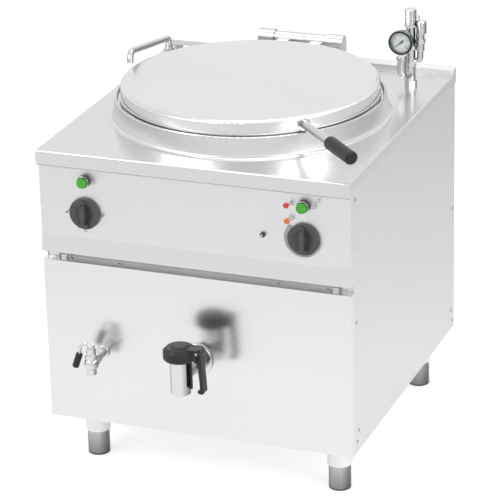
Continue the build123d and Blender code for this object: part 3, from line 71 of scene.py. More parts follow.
def ramp(tree, factor, stops):
    """A colour ramp from (place, colour) stops."""
    node = add(tree, "ShaderNodeValToRGB", inputs={"Fac": factor})
    marks = node.color_ramp.elements
    while len(marks) < len(stops):
        marks.new(0.5)
    for mark, (place, colour) in zip(marks, stops):
        mark.position = place
        mark.color = colour
    return node.outputs["Color"]


def spread(tree, factor, low, high):
    """Maps 0 to 1 onto low to high."""
    node = add(tree, "ShaderNodeMapRange", inputs={"Value": factor, "To Min": low, "To Max": high})
    return node.outputs["Result"]


# ---------------------------------------------------------------- materials
def grained_steel(name, grain, tone, roughness, streak_mm=0.9, wear=0.05, depth=0.008, painted_edge_shadow=False):
    """Stainless sheet ground in one direction. The belt leaves long fine streaks that blur
    what the sheet reflects, and handling leaves broad, faint changes of gloss. The lower-edge flag
    paints a thin dark line of shade along the lower edge, standing in for the shadow at the seam below it."""
    material, tree = new_material(name)
    where = add(tree, "ShaderNodeTexCoord").outputs["Object"]
    across = 1 / (streak_mm * MM)
    scale = {"x": (4.0, across, across), "y": (across, 4.0, across), "z": (across, across, 4.0)}[grain]
    stretched = add(tree, "ShaderNodeMapping", inputs={
        "Vector": where, "Scale": scale}).outputs["Vector"]
    streaks = add(tree, "ShaderNodeTexNoise", inputs={
        "Vector": stretched, "Scale": 1.0, "Detail": 4.0, "Roughness": 0.62}).outputs["Fac"]
    clouds = add(tree, "ShaderNodeTexNoise", inputs={
        "Vector": where, "Scale": 5.5, "Detail": 3.0, "Roughness": 0.55}).outputs["Fac"]
    both = add(tree, "ShaderNodeMix", {"data_type": "FLOAT"}, {
        "Factor": 0.35, "A": streaks, "B": clouds})
    rough = spread(tree, both.outputs["Result"], roughness - wear, roughness + wear)
    dark = tuple(c * 0.955 for c in tone[:3]) + (1.0,)
    colour = ramp(tree, streaks, [(0.3, dark), (0.7, tone)])
    # Painted shade: below EDGE_TOP the colour goes to dark grey, a thin line standing in for the seam's
    # shadow.
    if painted_edge_shadow:
        height = add(tree, "ShaderNodeSeparateXYZ", inputs={"Vector": where}).outputs["Z"]
        shadow_line = add(tree, "ShaderNodeMath", {"operation": "LESS_THAN"}, {
            0: height, 1: EDGE_TOP * MM}).outputs[0]
        colour = add(tree, "ShaderNodeMix", {"data_type": "RGBA"}, {
            "Factor": shadow_line, "A": colour, "B": srgb("#9c9c9e")}).outputs["Result"]
    bump = add(tree, "ShaderNodeBump", inputs={
        "Height": streaks, "Strength": 0.25, "Distance": depth * MM})
    shader = add(tree, "ShaderNodeBsdfPrincipled", inputs={
        "Base Color": colour, "Metallic": 1.0, "Roughness": rough, "Anisotropic": 0.45,
        "Normal": bump.outputs["Normal"]})
    add(tree, "ShaderNodeOutputMaterial", inputs={"Surface": shader.outputs["BSDF"]})
    return material


def side_shade(tree, tone, low):
    """Painted reflection: a tone put darker where a surface faces left or right. It paints on round bright
    parts the dark flanks that a white room alone would leave out, and it does not depend on the view."""
    facing = add(tree, "ShaderNodeNewGeometry").outputs["Normal"]
    sideways = add(tree, "ShaderNodeSeparateXYZ", inputs={"Vector": facing}).outputs["X"]
    amount = add(tree, "ShaderNodeMath", {"operation": "ABSOLUTE"}, {0: sideways}).outputs[0]
    dark = tuple(c * low for c in tone[:3]) + (1.0,)
    return ramp(tree, amount, [(0.45, tone), (0.97, dark)])


def turned_steel(name, tone, roughness, pitch_mm=0.8, shade=None, painted_floor_shade=False):
    """Stainless turned or ground all over: fine speckled scratches without a direction.
    shade, when given, paints the flanks facing left or right darker (painted reflection). The floor flag
    paints shade:
    the tone runs darker towards the floor, standing in for the floor's shadow that a foot under the
    cabinet reflects."""
    material, tree = new_material(name)
    where = add(tree, "ShaderNodeTexCoord").outputs["Object"]
    grit = add(tree, "ShaderNodeTexNoise", inputs={
        "Vector": where, "Scale": 1 / (pitch_mm * MM), "Detail": 3.0, "Roughness": 0.6}).outputs["Fac"]
    clouds = add(tree, "ShaderNodeTexNoise", inputs={
        "Vector": where, "Scale": 18.0, "Detail": 2.0}).outputs["Fac"]
    rough = spread(tree, clouds, roughness - 0.06, roughness + 0.08)
    bump = add(tree, "ShaderNodeBump", inputs={"Height": grit, "Strength": 0.2, "Distance": 0.01 * MM})
    # Painted reflection when shade is given: flanks facing left or right are painted darker.
    colour = side_shade(tree, tone, shade) if shade else ramp(tree, grit, [
        (0.2, tuple(c * 0.95 for c in tone[:3]) + (1.0,)), (0.6, tone)])
    # Painted shade: from 85 mm down to 4 mm the tone runs towards dark grey, standing in for the reflected
    # floor shadow.
    if painted_floor_shade:
        low = add(tree, "ShaderNodeSeparateXYZ", inputs={"Vector": where}).outputs["Z"]
        rise = add(tree, "ShaderNodeMapRange", inputs={
            "Value": low, "From Min": 4 * MM, "From Max": 85 * MM,
            "To Min": 0.42, "To Max": 1.0}).outputs["Result"]
        colour = add(tree, "ShaderNodeMix", {"data_type": "RGBA"}, {
            "Factor": rise, "A": srgb("#303032"), "B": colour}).outputs["Result"]
    shader = add(tree, "ShaderNodeBsdfPrincipled", inputs={
        "Base Color": colour, "Metallic": 1.0, "Roughness": rough, "Normal": bump.outputs["Normal"]})
    add(tree, "ShaderNodeOutputMaterial", inputs={"Surface": shader.outputs["BSDF"]})
    return material


def polished_plate(name, tone, roughness=0.09):
    """Chromium plate over cast brass. Slight waves of the casting under the plate bend the
    reflections, and water spots dull it here and there."""
    material, tree = new_material(name)
    where = add(tree, "ShaderNodeTexCoord").outputs["Object"]
    waves = add(tree, "ShaderNodeTexNoise", inputs={
        "Vector": where, "Scale": 90.0, "Detail": 1.0}).outputs["Fac"]
    spots = add(tree, "ShaderNodeTexNoise", inputs={
        "Vector": where, "Scale": 260.0, "Detail": 3.0, "Roughness": 0.7}).outputs["Fac"]
    rough = spread(tree, spots, roughness - 0.05, roughness + 0.09)
    bump = add(tree, "ShaderNodeBump", inputs={"Height": waves, "Strength": 0.12, "Distance": 0.35 * MM})
    # The base colour carries painted reflection: flanks facing left or right are painted darker.
    shader = add(tree, "ShaderNodeBsdfPrincipled", inputs={
        "Base Color": side_shade(tree, tone, 0.34), "Metallic": 1.0, "Roughness": rough,
        "Normal": bump.outputs["Normal"]})
    add(tree, "ShaderNodeOutputMaterial", inputs={"Surface": shader.outputs["BSDF"]})
    return material


def moulded_plastic(name, tone, roughness, grain_mm=0.6, depth_mm=0.03, gloss_spread=0.07):
    """Moulded plastic with the fine spark-eroded grain of its tool."""
    material, tree = new_material(name)
    where = add(tree, "ShaderNodeTexCoord").outputs["Object"]
    grain = add(tree, "ShaderNodeTexNoise", inputs={
        "Vector": where, "Scale": 1 / (grain_mm * MM), "Detail": 2.0, "Roughness": 0.5}).outputs["Fac"]
    rub = add(tree, "ShaderNodeTexNoise", inputs={
        "Vector": where, "Scale": 35.0, "Detail": 3.0}).outputs["Fac"]
    rough = spread(tree, rub, roughness - gloss_spread, roughness + gloss_spread)
    light = tuple(min(1.0, c * 1.25 + 0.004) for c in tone[:3]) + (1.0,)
    colour = ramp(tree, rub, [(0.35, tone), (0.8, light)])
    bump = add(tree, "ShaderNodeBump", inputs={
        "Height": grain, "Strength": 0.5, "Distance": depth_mm * MM})
    shader = add(tree, "ShaderNodeBsdfPrincipled", inputs={
        "Base Color": colour, "Roughness": rough, "IOR": 1.5, "Normal": bump.outputs["Normal"]})
    add(tree, "ShaderNodeOutputMaterial", inputs={"Surface": shader.outputs["BSDF"]})
    return material


def lamp_lens(name, tone, glow):
    """A tinted polycarbonate lens with a prismatic inside that breaks up its colour."""
    material, tree = new_material(name)
    where = add(tree, "ShaderNodeTexCoord").outputs["Object"]
    prisms = add(tree, "ShaderNodeTexVoronoi", inputs={
        "Vector": where, "Scale": 700.0}).outputs["Distance"]
    dark = tuple(c * 0.72 for c in tone[:3]) + (1.0,)
    colour = ramp(tree, prisms, [(0.05, tone), (0.75, dark)])
    shader = add(tree, "ShaderNodeBsdfPrincipled", inputs={
        "Base Color": colour, "Roughness": 0.12, "IOR": 1.58, "Coat Weight": 0.6, "Coat Roughness": 0.05,
        "Emission Color": glow, "Emission Strength": 0.12})
    add(tree, "ShaderNodeOutputMaterial", inputs={"Surface": shader.outputs["BSDF"]})
    return material


def gauge_window(name):
    """A flat glass window, clear, with a bright reflection at a low angle."""
    material, tree = new_material(name)
    where = add(tree, "ShaderNodeTexCoord").outputs["Object"]
    film = add(tree, "ShaderNodeTexNoise", inputs={
        "Vector": where, "Scale": 120.0, "Detail": 2.0}).outputs["Fac"]
    gloss = add(tree, "ShaderNodeBsdfGlossy", inputs={
        "Color": srgb("#ffffff"), "Roughness": spread(tree, film, 0.01, 0.06)})
    clear = add(tree, "ShaderNodeBsdfTransparent", inputs={"Color": srgb("#fbfdfd")})
    facing = add(tree, "ShaderNodeLayerWeight", inputs={"Blend": 0.15})
    share = spread(tree, facing.outputs["Facing"], 0.01, 0.30)
    blend = add(tree, "ShaderNodeMixShader", inputs={
        "Fac": share, 1: clear.outputs["BSDF"], 2: gloss.outputs["BSDF"]})
    add(tree, "ShaderNodeOutputMaterial", inputs={"Surface": blend.outputs["Shader"]})
    return material


def mineral_wool(name):
    """Pressed mineral wool: a matt yellowish felt of short fibres."""
    material, tree = new_material(name)
    where = add(tree, "ShaderNodeTexCoord").outputs["Object"]
    long = add(tree, "ShaderNodeMapping", inputs={
        "Vector": where, "Scale": (500.0, 500.0, 120.0)}).outputs["Vector"]
    fibres = add(tree, "ShaderNodeTexNoise", inputs={
        "Vector": long, "Scale": 1.0, "Detail": 5.0, "Roughness": 0.7, "Distortion": 1.4}).outputs["Fac"]
    colour = ramp(tree, fibres, [(0.25, srgb("#8d8460")), (0.75, srgb("#cfc69c"))])
    bump = add(tree, "ShaderNodeBump", inputs={"Height": fibres, "Strength": 0.8, "Distance": 1.2 * MM})
    shader = add(tree, "ShaderNodeBsdfPrincipled", inputs={
        "Base Color": colour, "Roughness": 0.95, "Normal": bump.outputs["Normal"]})
    add(tree, "ShaderNodeOutputMaterial", inputs={"Surface": shader.outputs["BSDF"]})
    return material


def cast_brass(name):
    """Hot-pressed brass, dull and slightly browned between its machined faces."""
    material, tree = new_material(name)
    where = add(tree, "ShaderNodeTexCoord").outputs["Object"]
    pits = add(tree, "ShaderNodeTexNoise", inputs={
        "Vector": where, "Scale": 600.0, "Detail": 4.0, "Roughness": 0.65}).outputs["Fac"]
    colour = ramp(tree, pits, [(0.3, srgb("#a98544")), (0.75, srgb("#dcb868"))])
    bump = add(tree, "ShaderNodeBump", inputs={"Height": pits, "Strength": 0.35, "Distance": 0.15 * MM})
    shader = add(tree, "ShaderNodeBsdfPrincipled", inputs={
        "Base Color": colour, "Metallic": 1.0, "Roughness": spread(tree, pits, 0.28, 0.5),
        "Normal": bump.outputs["Normal"]})
    add(tree, "ShaderNodeOutputMaterial", inputs={"Surface": shader.outputs["BSDF"]})
    return material


def printed_ink(name, tone):
    """Screen-printed enamel ink: matt, with the faint mottle of the mesh."""
    material, tree = new_material(name)
    where = add(tree, "ShaderNodeTexCoord").outputs["Object"]
    mesh = add(tree, "ShaderNodeTexNoise", inputs={
        "Vector": where, "Scale": 1800.0, "Detail": 1.0}).outputs["Fac"]
    light = tuple(min(1.0, c * 1.3 + 0.01) for c in tone[:3]) + (1.0,)
    colour = ramp(tree, mesh, [(0.3, tone), (0.85, light)])
    shader = add(tree, "ShaderNodeBsdfPrincipled", inputs={
        "Base Color": colour, "Roughness": spread(tree, mesh, 0.42, 0.6)})
    add(tree, "ShaderNodeOutputMaterial", inputs={"Surface": shader.outputs["BSDF"]})
    return material


STEEL = srgb("#ececed")
EDGE_TOP = 814.4  # height of the top of the painted shadow line along the worktop's lower edge, in millimetres
sheet_x = grained_steel("brushed stainless sheet, grain left to right", "x", STEEL, 0.30)
sheet_y = grained_steel("brushed stainless sheet, grain front to back", "y", STEEL, 0.32)
control_sheet = grained_steel("brushed stainless control panel", "x", STEEL, 0.42)
front_sheet = grained_steel("fine brushed stainless front panel", "x", STEEL, 0.21, wear=0.03)
top_sheet = grained_steel("brushed stainless worktop", "x", srgb("#e6e6e7"), 0.25, painted_edge_shadow=True)
lid_sheet = grained_steel("brushed stainless lid", "x", STEEL, 0.24)
pressed_steel = turned_steel("fine ground stainless pressing", srgb("#e2e2e2"), 0.24)
tube_steel = turned_steel("mill finish stainless tube", srgb("#f6f6f6"), 0.58)
# The foot's tone carries painted reflection on its flanks and painted shade towards the floor.
foot_steel = turned_steel("turned stainless foot", srgb("#d0d0d1"), 0.24, shade=0.45, painted_floor_shade=True)
screw_steel = turned_steel("bright stainless fastener", srgb("#b0b0ae"), 0.25, 0.4)
chrome = polished_plate("chromium plated brass", srgb("#dfe0e1"))
grip_black = moulded_plastic("phenolic grip, moulded", srgb("#101011"), 0.42)
knob_black = moulded_plastic("nylon knob, spark-eroded grain", srgb("#4b4b4b"), 0.5)
tap_black = moulded_plastic("glass filled nylon tap moulding", srgb("#161618"), 0.45)
button_green = moulded_plastic("green ABS button", srgb("#3faf1f"), 0.28, gloss_spread=0.05)
ring_plate = polished_plate("plated button ring", srgb("#dfe2df"), 0.14)
collar_grey = moulded_plastic("dark grey nylon collar", srgb("#3c3f42"), 0.5)
switch_black = moulded_plastic("thermoset switch body", srgb("#1c1d20"), 0.5)
box_grey = moulded_plastic("grey ABS terminal box", srgb("#9b9ea2"), 0.45)
red_lens = lamp_lens("red polycarbonate lens", srgb("#e8291c"), srgb("#ff2a1a"))
orange_lens = lamp_lens("orange polycarbonate lens", srgb("#f7791e"), srgb("#ff7a1a"))
case_steel = turned_steel("rolled steel gauge case", srgb("#8e8e90"), 0.34)
bezel_black = moulded_plastic("black enamelled bezel", srgb("#151516"), 0.32, 1.2, 0.02)
button_grey = moulded_plastic("light grey ABS pin", srgb("#b4b6b8"), 0.4)
dial_white = printed_ink("white enamelled dial", srgb("#f2f2ee"))
needle_black = printed_ink("black enamelled pointer", srgb("#121212"))
ink_grey = printed_ink("grey panel ink", srgb("#565a5e"))
ink_black = printed_ink("black dial ink", srgb("#1a1a1c"))
ink_red = printed_ink("red panel ink", srgb("#cf2a20"))
wool = mineral_wool("pressed mineral wool")
brass = cast_brass("hot-pressed brass")
window = gauge_window("clear gauge glass")
foot_rubber = moulded_plastic("black nitrile pad", srgb("#2c2c2e"), 0.7)
heater_steel = turned_steel("blued heater sheath", srgb("#7c7b80"), 0.4)

FINISH = {
    sheet_x: ["rear_panel", "bottom_tray"],
    control_sheet: ["control_panel"],
    front_sheet: ["front_panel"],
    sheet_y: ["side_panel_left", "side_panel_right"],
    top_sheet: ["worktop"],
    lid_sheet: ["lid_shell"],
    pressed_steel: ["inner_vessel", "jacket_shell", "lid_liner", "drain_strainer", "drain_pipe",
                    "lid_hinge_tube", "hinge_blocks"],
    tube_steel: ["base_frame"],
    foot_steel: ["foot_front_left", "foot_front_right", "foot_rear_left", "foot_rear_right"],
    screw_steel: ["panel_screws", "side_screws", "hinge_shaft", "balance_springs", "tap_pin"],
    chrome: ["spout_base", "spout_tube", "lid_handle_rod", "safety_manifold", "safety_valve",
             "safety_valve_cap", "vacuum_breaker", "cock_body", "cock_lever", "tap_body", "tap_plunger"],
    grip_black: ["lid_handle_grip", "cock_sleeve"],
    knob_black: ["selector_knob", "regulator_knob"],
    button_grey: ["reset_button"],
    tap_black: ["tap_cap", "tap_handle"],
    button_green: ["button_left", "button_right"],
    collar_grey: ["button_collars"],
    switch_black: ["selector_switch", "energy_regulator", "contact_blocks", "safety_thermostat"],
    box_grey: ["terminal_box"],
    red_lens: ["lamp_red"],
    orange_lens: ["lamp_orange"],
    case_steel: ["gauge_case"],
    dial_white: ["gauge_dial"],
    needle_black: ["gauge_needle"],
    window: ["gauge_glass"],
    wool: ["insulation"],
    brass: ["inlet_valves"],
    heater_steel: ["heating_elements"],
}
for material, members in FINISH.items():
    for member in members:
        node = nodes[member]
        if node.material_slots:
            for socket in node.material_slots:
                socket.material = material
        else:
            node.data.materials.append(material)


# ---------------------------------------------------------------- pieces added to the frame
def piece(name, mesh_maker, material, body, smooth=False):
    """A new mesh piece from a bmesh, finished and riding on its body."""
    mesh = bpy.data.meshes.new(name)
    shape = bmesh.new()
    mesh_maker(shape)
    bmesh.ops.recalc_face_normals(shape, faces=shape.faces)
    shape.to_mesh(mesh)
    shape.free()
    for face in mesh.polygons:
        face.use_smooth = smooth
    thing = bpy.data.objects.new(name, mesh)
    bpy.context.scene.collection.objects.link(thing)
    mesh.materials.append(material)
    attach(thing, body)
    return thing


def slab(shape, outline, y_back, y_front):
    """A thin plate facing the front, from (x, z) points in millimetres."""
    back = [shape.verts.new((x * MM, y_back * MM, z * MM)) for x, z in outline]
    face = [shape.verts.new((x * MM, y_front * MM, z * MM)) for x, z in outline]
    shape.faces.new(face)
    shape.faces.new(list(reversed(back)))
    count = len(outline)
    for i in range(count):
        j = (i + 1) % count
        shape.faces.new((back[i], back[j], face[j], face[i]))


def arc_points(x, z, radius, start, end, steps=24):
    """Points on a circle facing the front, angles in degrees from the right, turning upwards."""
    turns = [math.radians(start + (end - start) * i / steps) for i in range(steps + 1)]
    return [(x + radius * math.cos(t), z + radius * math.sin(t)) for t in turns]


def band(x, z, inner, outer, start, end, steps=24):
    """The outline of part of a flat ring. inner and outer may be (first, last) pairs."""
    far = arc_points(x, z, 1.0, start, end, steps)
    outline = []
    for index, (px, pz) in enumerate(far):
        share = index / steps
        width = outer[0] + (outer[1] - outer[0]) * share
        outline.append((x + (px - x) * width, z + (pz - z) * width))
    for index, (px, pz) in reversed(list(enumerate(far))):
        share = index / steps
        width = inner[0] + (inner[1] - inner[0]) * share
        outline.append((x + (px - x) * width, z + (pz - z) * width))
    return outline


def stroke(points, width):
    """The outline of a line of even width through (x, z) points, mitred at its bends."""
    left, right = [], []
    for index, (x, z) in enumerate(points):
        before = Vector(points[max(index - 1, 0)])
        after = Vector(points[min(index + 1, len(points) - 1)])
        along = (after - before).normalized()
        side = Vector((-along.y, along.x)) * width / 2
        left.append((x + side.x, z + side.y))
        right.append((x - side.x, z - side.y))
    return left + right[::-1]


# ---------------------------------------------------------------- marks on the control panel
def middle(node):
    low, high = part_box(node)
    return (low + high) / 2 / MM


def edges(node):
    low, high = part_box(node)
    return low / MM, high / MM


PANEL = edges("control_panel")[0].y
INK = 0.12


def mark(name, outlines, material=None):
    """A flat printed mark on the control panel from one or more (x, z) outlines."""
    def build(shape):
        for outline in outlines:
            slab(shape, outline, PANEL + 0.02, PANEL - INK)
    return piece(name, build, material or ink_grey, "cabinet")


def circle_line(x, z, radius, width, start=0, end=360, steps=36):
    """Short curved strokes that together make a ring, so that each outline stays simple."""
    pieces = []
    for i in range(steps):
        a = start + (end - start) * i / steps
        b = start + (end - start) * (i + 1) / steps
        pieces.append(band(x, z, (radius - width / 2,) * 2, (radius + width / 2,) * 2, a, b, 1))
    return pieces


left_knob = middle("selector_knob")
right_knob = middle("regulator_knob")
left_button = middle("button_left")
right_button = middle("button_right")

kx, kz = left_knob.x, left_knob.z
mark("mark_off_dot", [arc_points(kx - 46.9, kz - 1.1, 2.8, 0, 360, 20)[:-1]])
mark("mark_low_half", circle_line(kx + 44.4, kz - 1, 3.2, 0.9) + [
    [(kx + 44.4, kz - 4.2), (kx + 46.4, kz - 3.6), (kx + 47.6, kz - 1),
     (kx + 46.4, kz + 1.6), (kx + 44.4, kz + 2.2)]])
mark("mark_high_ring", circle_line(kx - 0.9, kz - 44.4, 3.4, 0.9))

tx, tz = left_button.x, left_button.z
mark("mark_fill_spout", [
    stroke([(tx + 17.5, tz + 2.8), (tx + 18.2, tz + 8.0), (tx + 21.6, tz + 10.6), (tx + 25.0, tz + 8.4),
            (tx + 26.5, tz - 4.8)], 1.1)])

rx, rz = right_knob.x, right_knob.z
wedge = []
for i in range(60):
    a, b = 140 + 215 * i / 60, 140 + 215 * (i + 1) / 60
    wide = lambda t: 8.2 - 7.2 * max(0.0, (t - 180) / 175) ** 0.8
    wedge.append(band(rx, rz, (41.4, 41.4), (41.4 + wide(a), 41.4 + wide(b)), a, b, 1))
wedge_ink = printed_ink("pale grey panel ink", srgb("#a3a6aa"))
mark("mark_power_wedge", wedge, wedge_ink)

ax, az = 253.5, 785.4
mark("mark_warning_triangle", [
    stroke([(ax - 5.6, az - 3.2), (ax, az + 7)], 1.1),
    stroke([(ax, az + 7), (ax + 6, az - 3.2)], 1.1),
    stroke([(ax + 6, az - 3.2), (ax - 5.6, az - 3.2)], 1.1),
    stroke([(ax, az + 3.8), (ax, az - 0.6)], 1.1)])
mark("mark_heating_ring", circle_line(253.2, 748.3, 5.2, 1.3))
bx, bz = right_button.x, right_button.z
mark("mark_fill_vessel", [
    stroke([(bx + 17.2, bz + 12.4), (bx + 17, bz - 4), (bx + 30.9, bz - 2.4),
            (bx + 30.6, bz + 15.9)], 1.1),
    stroke([(bx + 23.6, bz + 4), (bx + 30.6, bz + 6)], 0.9),
    stroke([(bx + 40.2, bz + 22.7), (bx + 40.2, bz + 14.2), (bx + 44, bz + 14.2)], 1.1),
    stroke([(bx + 36.8, bz + 22.7), (bx + 43.6, bz + 22.7)], 1.1)])


# ---------------------------------------------------------------- rings, pads and trims
def ring(shape, place, profile, steps=48):
    """A turned ring. place gives the point for (cosine, sine, radius, distance along the axis)."""
    rows = []
    for i in range(steps):
        t = 2 * math.pi * i / steps
        rows.append([shape.verts.new(place(math.cos(t), math.sin(t), r, along)) for r, along in profile])
    for i in range(steps):
        here, there = rows[i], rows[(i + 1) % steps]
        for k in range(len(profile)):
            m = (k + 1) % len(profile)
            shape.faces.new((here[k], there[k], there[m], here[m]))


def ring_about_y(shape, x, z, profile):
    """A ring about a front-to-back axis, from (radius, y) points in millimetres."""
    ring(shape, lambda c, s, r, y: ((x + r * c) * MM, y * MM, (z + r * s) * MM), profile)


def ring_about_z(shape, x, y, profile):
    """A ring about an upright axis, from (radius, z) points in millimetres."""
    ring(shape, lambda c, s, r, z: ((x + r * c) * MM, (y + r * s) * MM, z * MM), profile)


for node in ("button_left", "button_right"):
    centre = middle(node)
    collar_front = edges("button_collars")[0].y
    piece(node + "_ring", lambda shape, centre=centre, y=collar_front: ring_about_y(
        shape, centre.x, centre.z,
        [(13.2, y + 0.2), (15.6, y + 0.2), (15.6, y - 0.3), (15.0, y - 0.7), (13.6, y - 0.7)]),
        ring_plate, "cabinet", smooth=True)

gauge = middle("gauge_case")
case_front = edges("gauge_case")[0].y
piece("gauge_bezel", lambda shape: ring_about_y(
    shape, gauge.x, gauge.z, [(26.4, case_front + 1.2), (31.3, case_front + 1.2), (31.3, case_front - 0.9),
                              (30.6, case_front - 1.4), (27.2, case_front - 1.4)]),
    bezel_black, "cabinet", smooth=True)

for foot in ("front_left", "front_right", "rear_left", "rear_right"):
    low, high = edges("foot_" + foot)
    x, y = (low.x + high.x) / 2, (low.y + high.y) / 2
    piece("pad_" + foot, lambda shape, x=x, y=y: ring_about_z(
        shape, x, y, [(23.6, 0.0), (27.2, 0.0), (27.8, 0.6), (27.8, 4.6), (26.6, 4.6)]),
        foot_rubber, foot + "_foot", smooth=False)

POINTER_TIP = 32.8
POINTER_SIZE = (2.6, 6.4)
POINTER_BACK, POINTER_FACE = -437.0, -438.1

for node, body in (("selector_knob", "selector"), ("regulator_knob", "regulator")):
    low, high = edges(node)
    x, z = (low.x + high.x) / 2, (low.z + high.z) / 2
    tip = z + POINTER_TIP
    half, drop = POINTER_SIZE
    piece(node + "_pointer", lambda shape, x=x, tip=tip: slab(
        shape, [(x, tip), (x - half, tip - drop), (x + half, tip - drop)], POINTER_BACK, POINTER_FACE),
        ink_black, body)


# ---------------------------------------------------------------- gauge face
gx, gz = middle("gauge_dial").x, middle("gauge_dial").z
dial_high = edges("gauge_dial")[1]
dial_front = dial_high.y - 1.0
START, SWEEP = 223.0, -270.0
TICK_END = 23.4
NUMBER_RADIUS = 14.6


def on_dial(name, outlines, material):
    def build(shape):
        for outline in outlines:
            slab(shape, outline, dial_front + 0.05, dial_front - 0.12)
    return piece(name, build, material, "cabinet")


ticks = []
for i in range(41):
    a = math.radians(START + SWEEP * i / 40)
    inner = 18.6 if i % 10 == 0 else (20.2 if i % 5 == 0 else 21.4)
    ticks.append(stroke([(gx + inner * math.cos(a), gz + inner * math.sin(a)),
                         (gx + TICK_END * math.cos(a), gz + TICK_END * math.sin(a))],
                        0.9 if i % 10 == 0 else 0.5))
on_dial("dial_ticks", ticks, ink_black)
on_dial("dial_arc", circle_line(gx, gz, 23.6, 0.5, START, START + SWEEP, 54), ink_black)
on_dial("dial_limit_arc", [band(gx, gz, (24.2, 24.2), (25.2, 25.2), a, a - 9, 2)
                           for a in range(-7, -48, -9)], ink_red)
for value in range(5):
    a = math.radians(START + SWEEP * value / 4)
    words = bpy.data.curves.new(f"dial_number_{value}", "FONT")
    words.body = str(value)
    words.size = 6.4 * MM
    words.extrude = 0.05 * MM
    words.align_x = "CENTER"
    words.align_y = "CENTER"
    words.materials.append(ink_black)
    number = bpy.data.objects.new(f"dial_number_{value}", words)
    bpy.context.scene.collection.objects.link(number)
    number.rotation_euler = (math.radians(90), 0, 0)
    number.location = ((gx + NUMBER_RADIUS * math.cos(a)) * MM, (dial_front - 0.07) * MM,
                       (gz + NUMBER_RADIUS * math.sin(a)) * MM)
    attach(number, "cabinet")


# ---------------------------------------------------------------- floor, light and camera
def studio_floor():
    """A white sweep: bright to the camera, and matt enough to keep the shadow."""
    material, tree = new_material("white studio floor")
    where = add(tree, "ShaderNodeTexCoord").outputs["Object"]
    mottle = add(tree, "ShaderNodeTexNoise", inputs={
        "Vector": where, "Scale": 3.0, "Detail": 2.0}).outputs["Fac"]
    colour = ramp(tree, mottle, [(0.3, srgb("#dcdcdc")), (0.7, srgb("#e0e0e0"))])
    matt = add(tree, "ShaderNodeBsdfDiffuse", inputs={"Color": colour})
    path = add(tree, "ShaderNodeLightPath").outputs
    away = add(tree, "ShaderNodeVectorMath", {"operation": "LENGTH"}, {0: where}).outputs["Value"]
    fade = add(tree, "ShaderNodeMapRange", inputs={
        "Value": away, "From Min": 0.7, "From Max": 2.4,
        "To Min": 0.34, "To Max": 0.16}).outputs["Result"]
    bounced = add(tree, "ShaderNodeMath", {"operation": "MAXIMUM"}, {
        0: path["Is Glossy Ray"], 1: path["Is Transmission Ray"]}).outputs[0]
    bounced = add(tree, "ShaderNodeMath", {"operation": "MULTIPLY"}, {0: bounced, 1: fade}).outputs[0]
    direct = add(tree, "ShaderNodeMath", {"operation": "MULTIPLY"}, {
        0: path["Is Camera Ray"], 1: 0.58}).outputs[0]
    lift = add(tree, "ShaderNodeMath", {"operation": "ADD"}, {0: bounced, 1: direct})
    white = add(tree, "ShaderNodeEmission", inputs={
        "Color": srgb("#ffffff"), "Strength": lift.outputs[0]})
    total = add(tree, "ShaderNodeAddShader", inputs={
        0: matt.outputs["BSDF"], 1: white.outputs["Emission"]})
    add(tree, "ShaderNodeOutputMaterial", inputs={"Surface": total.outputs["Shader"]})
    return material


def build_floor(shape):
    bmesh.ops.create_grid(shape, x_segments=2, y_segments=2, size=14.0)


mesh = bpy.data.meshes.new("studio_floor")
shape = bmesh.new()
build_floor(shape)
shape.to_mesh(mesh)
shape.free()
floor = bpy.data.objects.new("studio_floor", mesh)
floor.location.z = -0.0005
mesh.materials.append(studio_floor())
bpy.context.scene.collection.objects.link(floor)

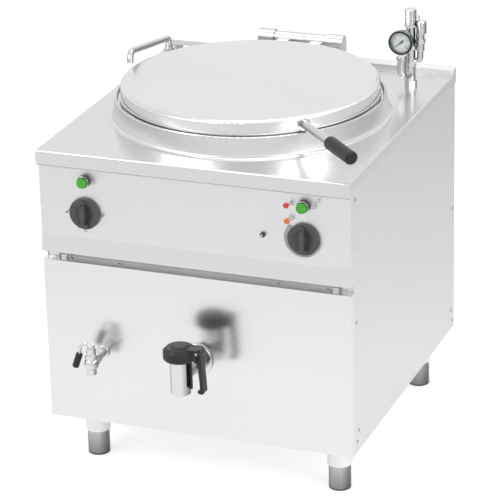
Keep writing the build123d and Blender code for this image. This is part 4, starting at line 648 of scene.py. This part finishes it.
world = bpy.data.worlds.new("studio")
bpy.context.scene.world = world
world.use_nodes = True
sky = world.node_tree
sky.nodes.clear()
direction = add(sky, "ShaderNodeTexCoord").outputs["Generated"]
axes = add(sky, "ShaderNodeSeparateXYZ", inputs={"Vector": direction})
height = add(sky, "ShaderNodeMapRange", inputs={
    "Value": axes.outputs["Z"], "From Min": -1.0, "From Max": 1.0})
dome = ramp(sky, height.outputs["Result"], [
    (0.0, (0.86, 0.86, 0.86, 1)), (0.5, (0.92, 0.92, 0.92, 1)), (0.64, (1.0, 1.0, 1.0, 1)),
    (0.72, (0.84, 0.84, 0.85, 1)), (1.0, (0.70, 0.70, 0.71, 1))])
path = add(sky, "ShaderNodeLightPath").outputs
shown = add(sky, "ShaderNodeMath", {"operation": "MAXIMUM"}, {
    0: path["Is Glossy Ray"], 1: path["Is Transmission Ray"]})
plain = add(sky, "ShaderNodeMix", {"data_type": "RGBA"}, {
    "Factor": path["Is Camera Ray"], "A": dome, "B": (1.0, 1.0, 1.0, 1.0)})
power = add(sky, "ShaderNodeMapRange", inputs={"Value": shown.outputs[0], "To Min": 0.55, "To Max": 1.0})
seen = add(sky, "ShaderNodeMath", {"operation": "MAXIMUM"}, {
    0: power.outputs["Result"], 1: path["Is Camera Ray"]})
back = add(sky, "ShaderNodeBackground", inputs={
    "Color": plain.outputs["Result"], "Strength": seen.outputs[0]})
add(sky, "ShaderNodeOutputWorld", inputs={"Surface": back.outputs["Background"]})


def softbox(name, place, aim, size, power):
    """A square studio softbox pointed at a place."""
    light = bpy.data.lights.new(name, "AREA")
    light.shape = "RECTANGLE"
    light.size, light.size_y = size
    light.energy = power
    lamp = bpy.data.objects.new(name, light)
    lamp.location = place
    lamp.rotation_euler = (Vector(aim) - Vector(place)).to_track_quat("-Z", "Y").to_euler()
    bpy.context.scene.collection.objects.link(lamp)
    return lamp


softbox("key_softbox", (-2.6, -3.4, 3.6), (0, 0, 0.5), (2.2, 2.2), 90)
softbox("fill_softbox", (3.6, -1.6, 2.6), (0, 0, 0.5), (2.4, 2.4), 55)
softbox("top_softbox", (0.2, 0.6, 3.9), (0, 0, 0.8), (3.0, 3.0), 45)

bpy.context.scene.view_settings.view_transform = "Standard"

lens = bpy.data.cameras.new("camera")
lens.lens = 202.58
lens.sensor_width = 36.0
lens.clip_start, lens.clip_end = 0.1, 100.0
camera = bpy.data.objects.new("camera", lens)
azimuth, elevation, roll = math.radians(21.19), math.radians(22.05), math.radians(-1.41)
ahead = Vector((-math.sin(azimuth) * math.cos(elevation), math.cos(azimuth) * math.cos(elevation),
                -math.sin(elevation)))
level = ahead.cross(Vector((0, 0, 1))).normalized()
upward = level.cross(ahead)
across = level * math.cos(roll) + upward * math.sin(roll)
above = upward * math.cos(roll) - level * math.sin(roll)
turn = Matrix((across, above, -ahead)).transposed().to_4x4()
camera.matrix_world = Matrix.Translation((2.37976, -6.17838, 3.15618)) @ turn
bpy.context.scene.collection.objects.link(camera)
bpy.context.scene.camera = camera
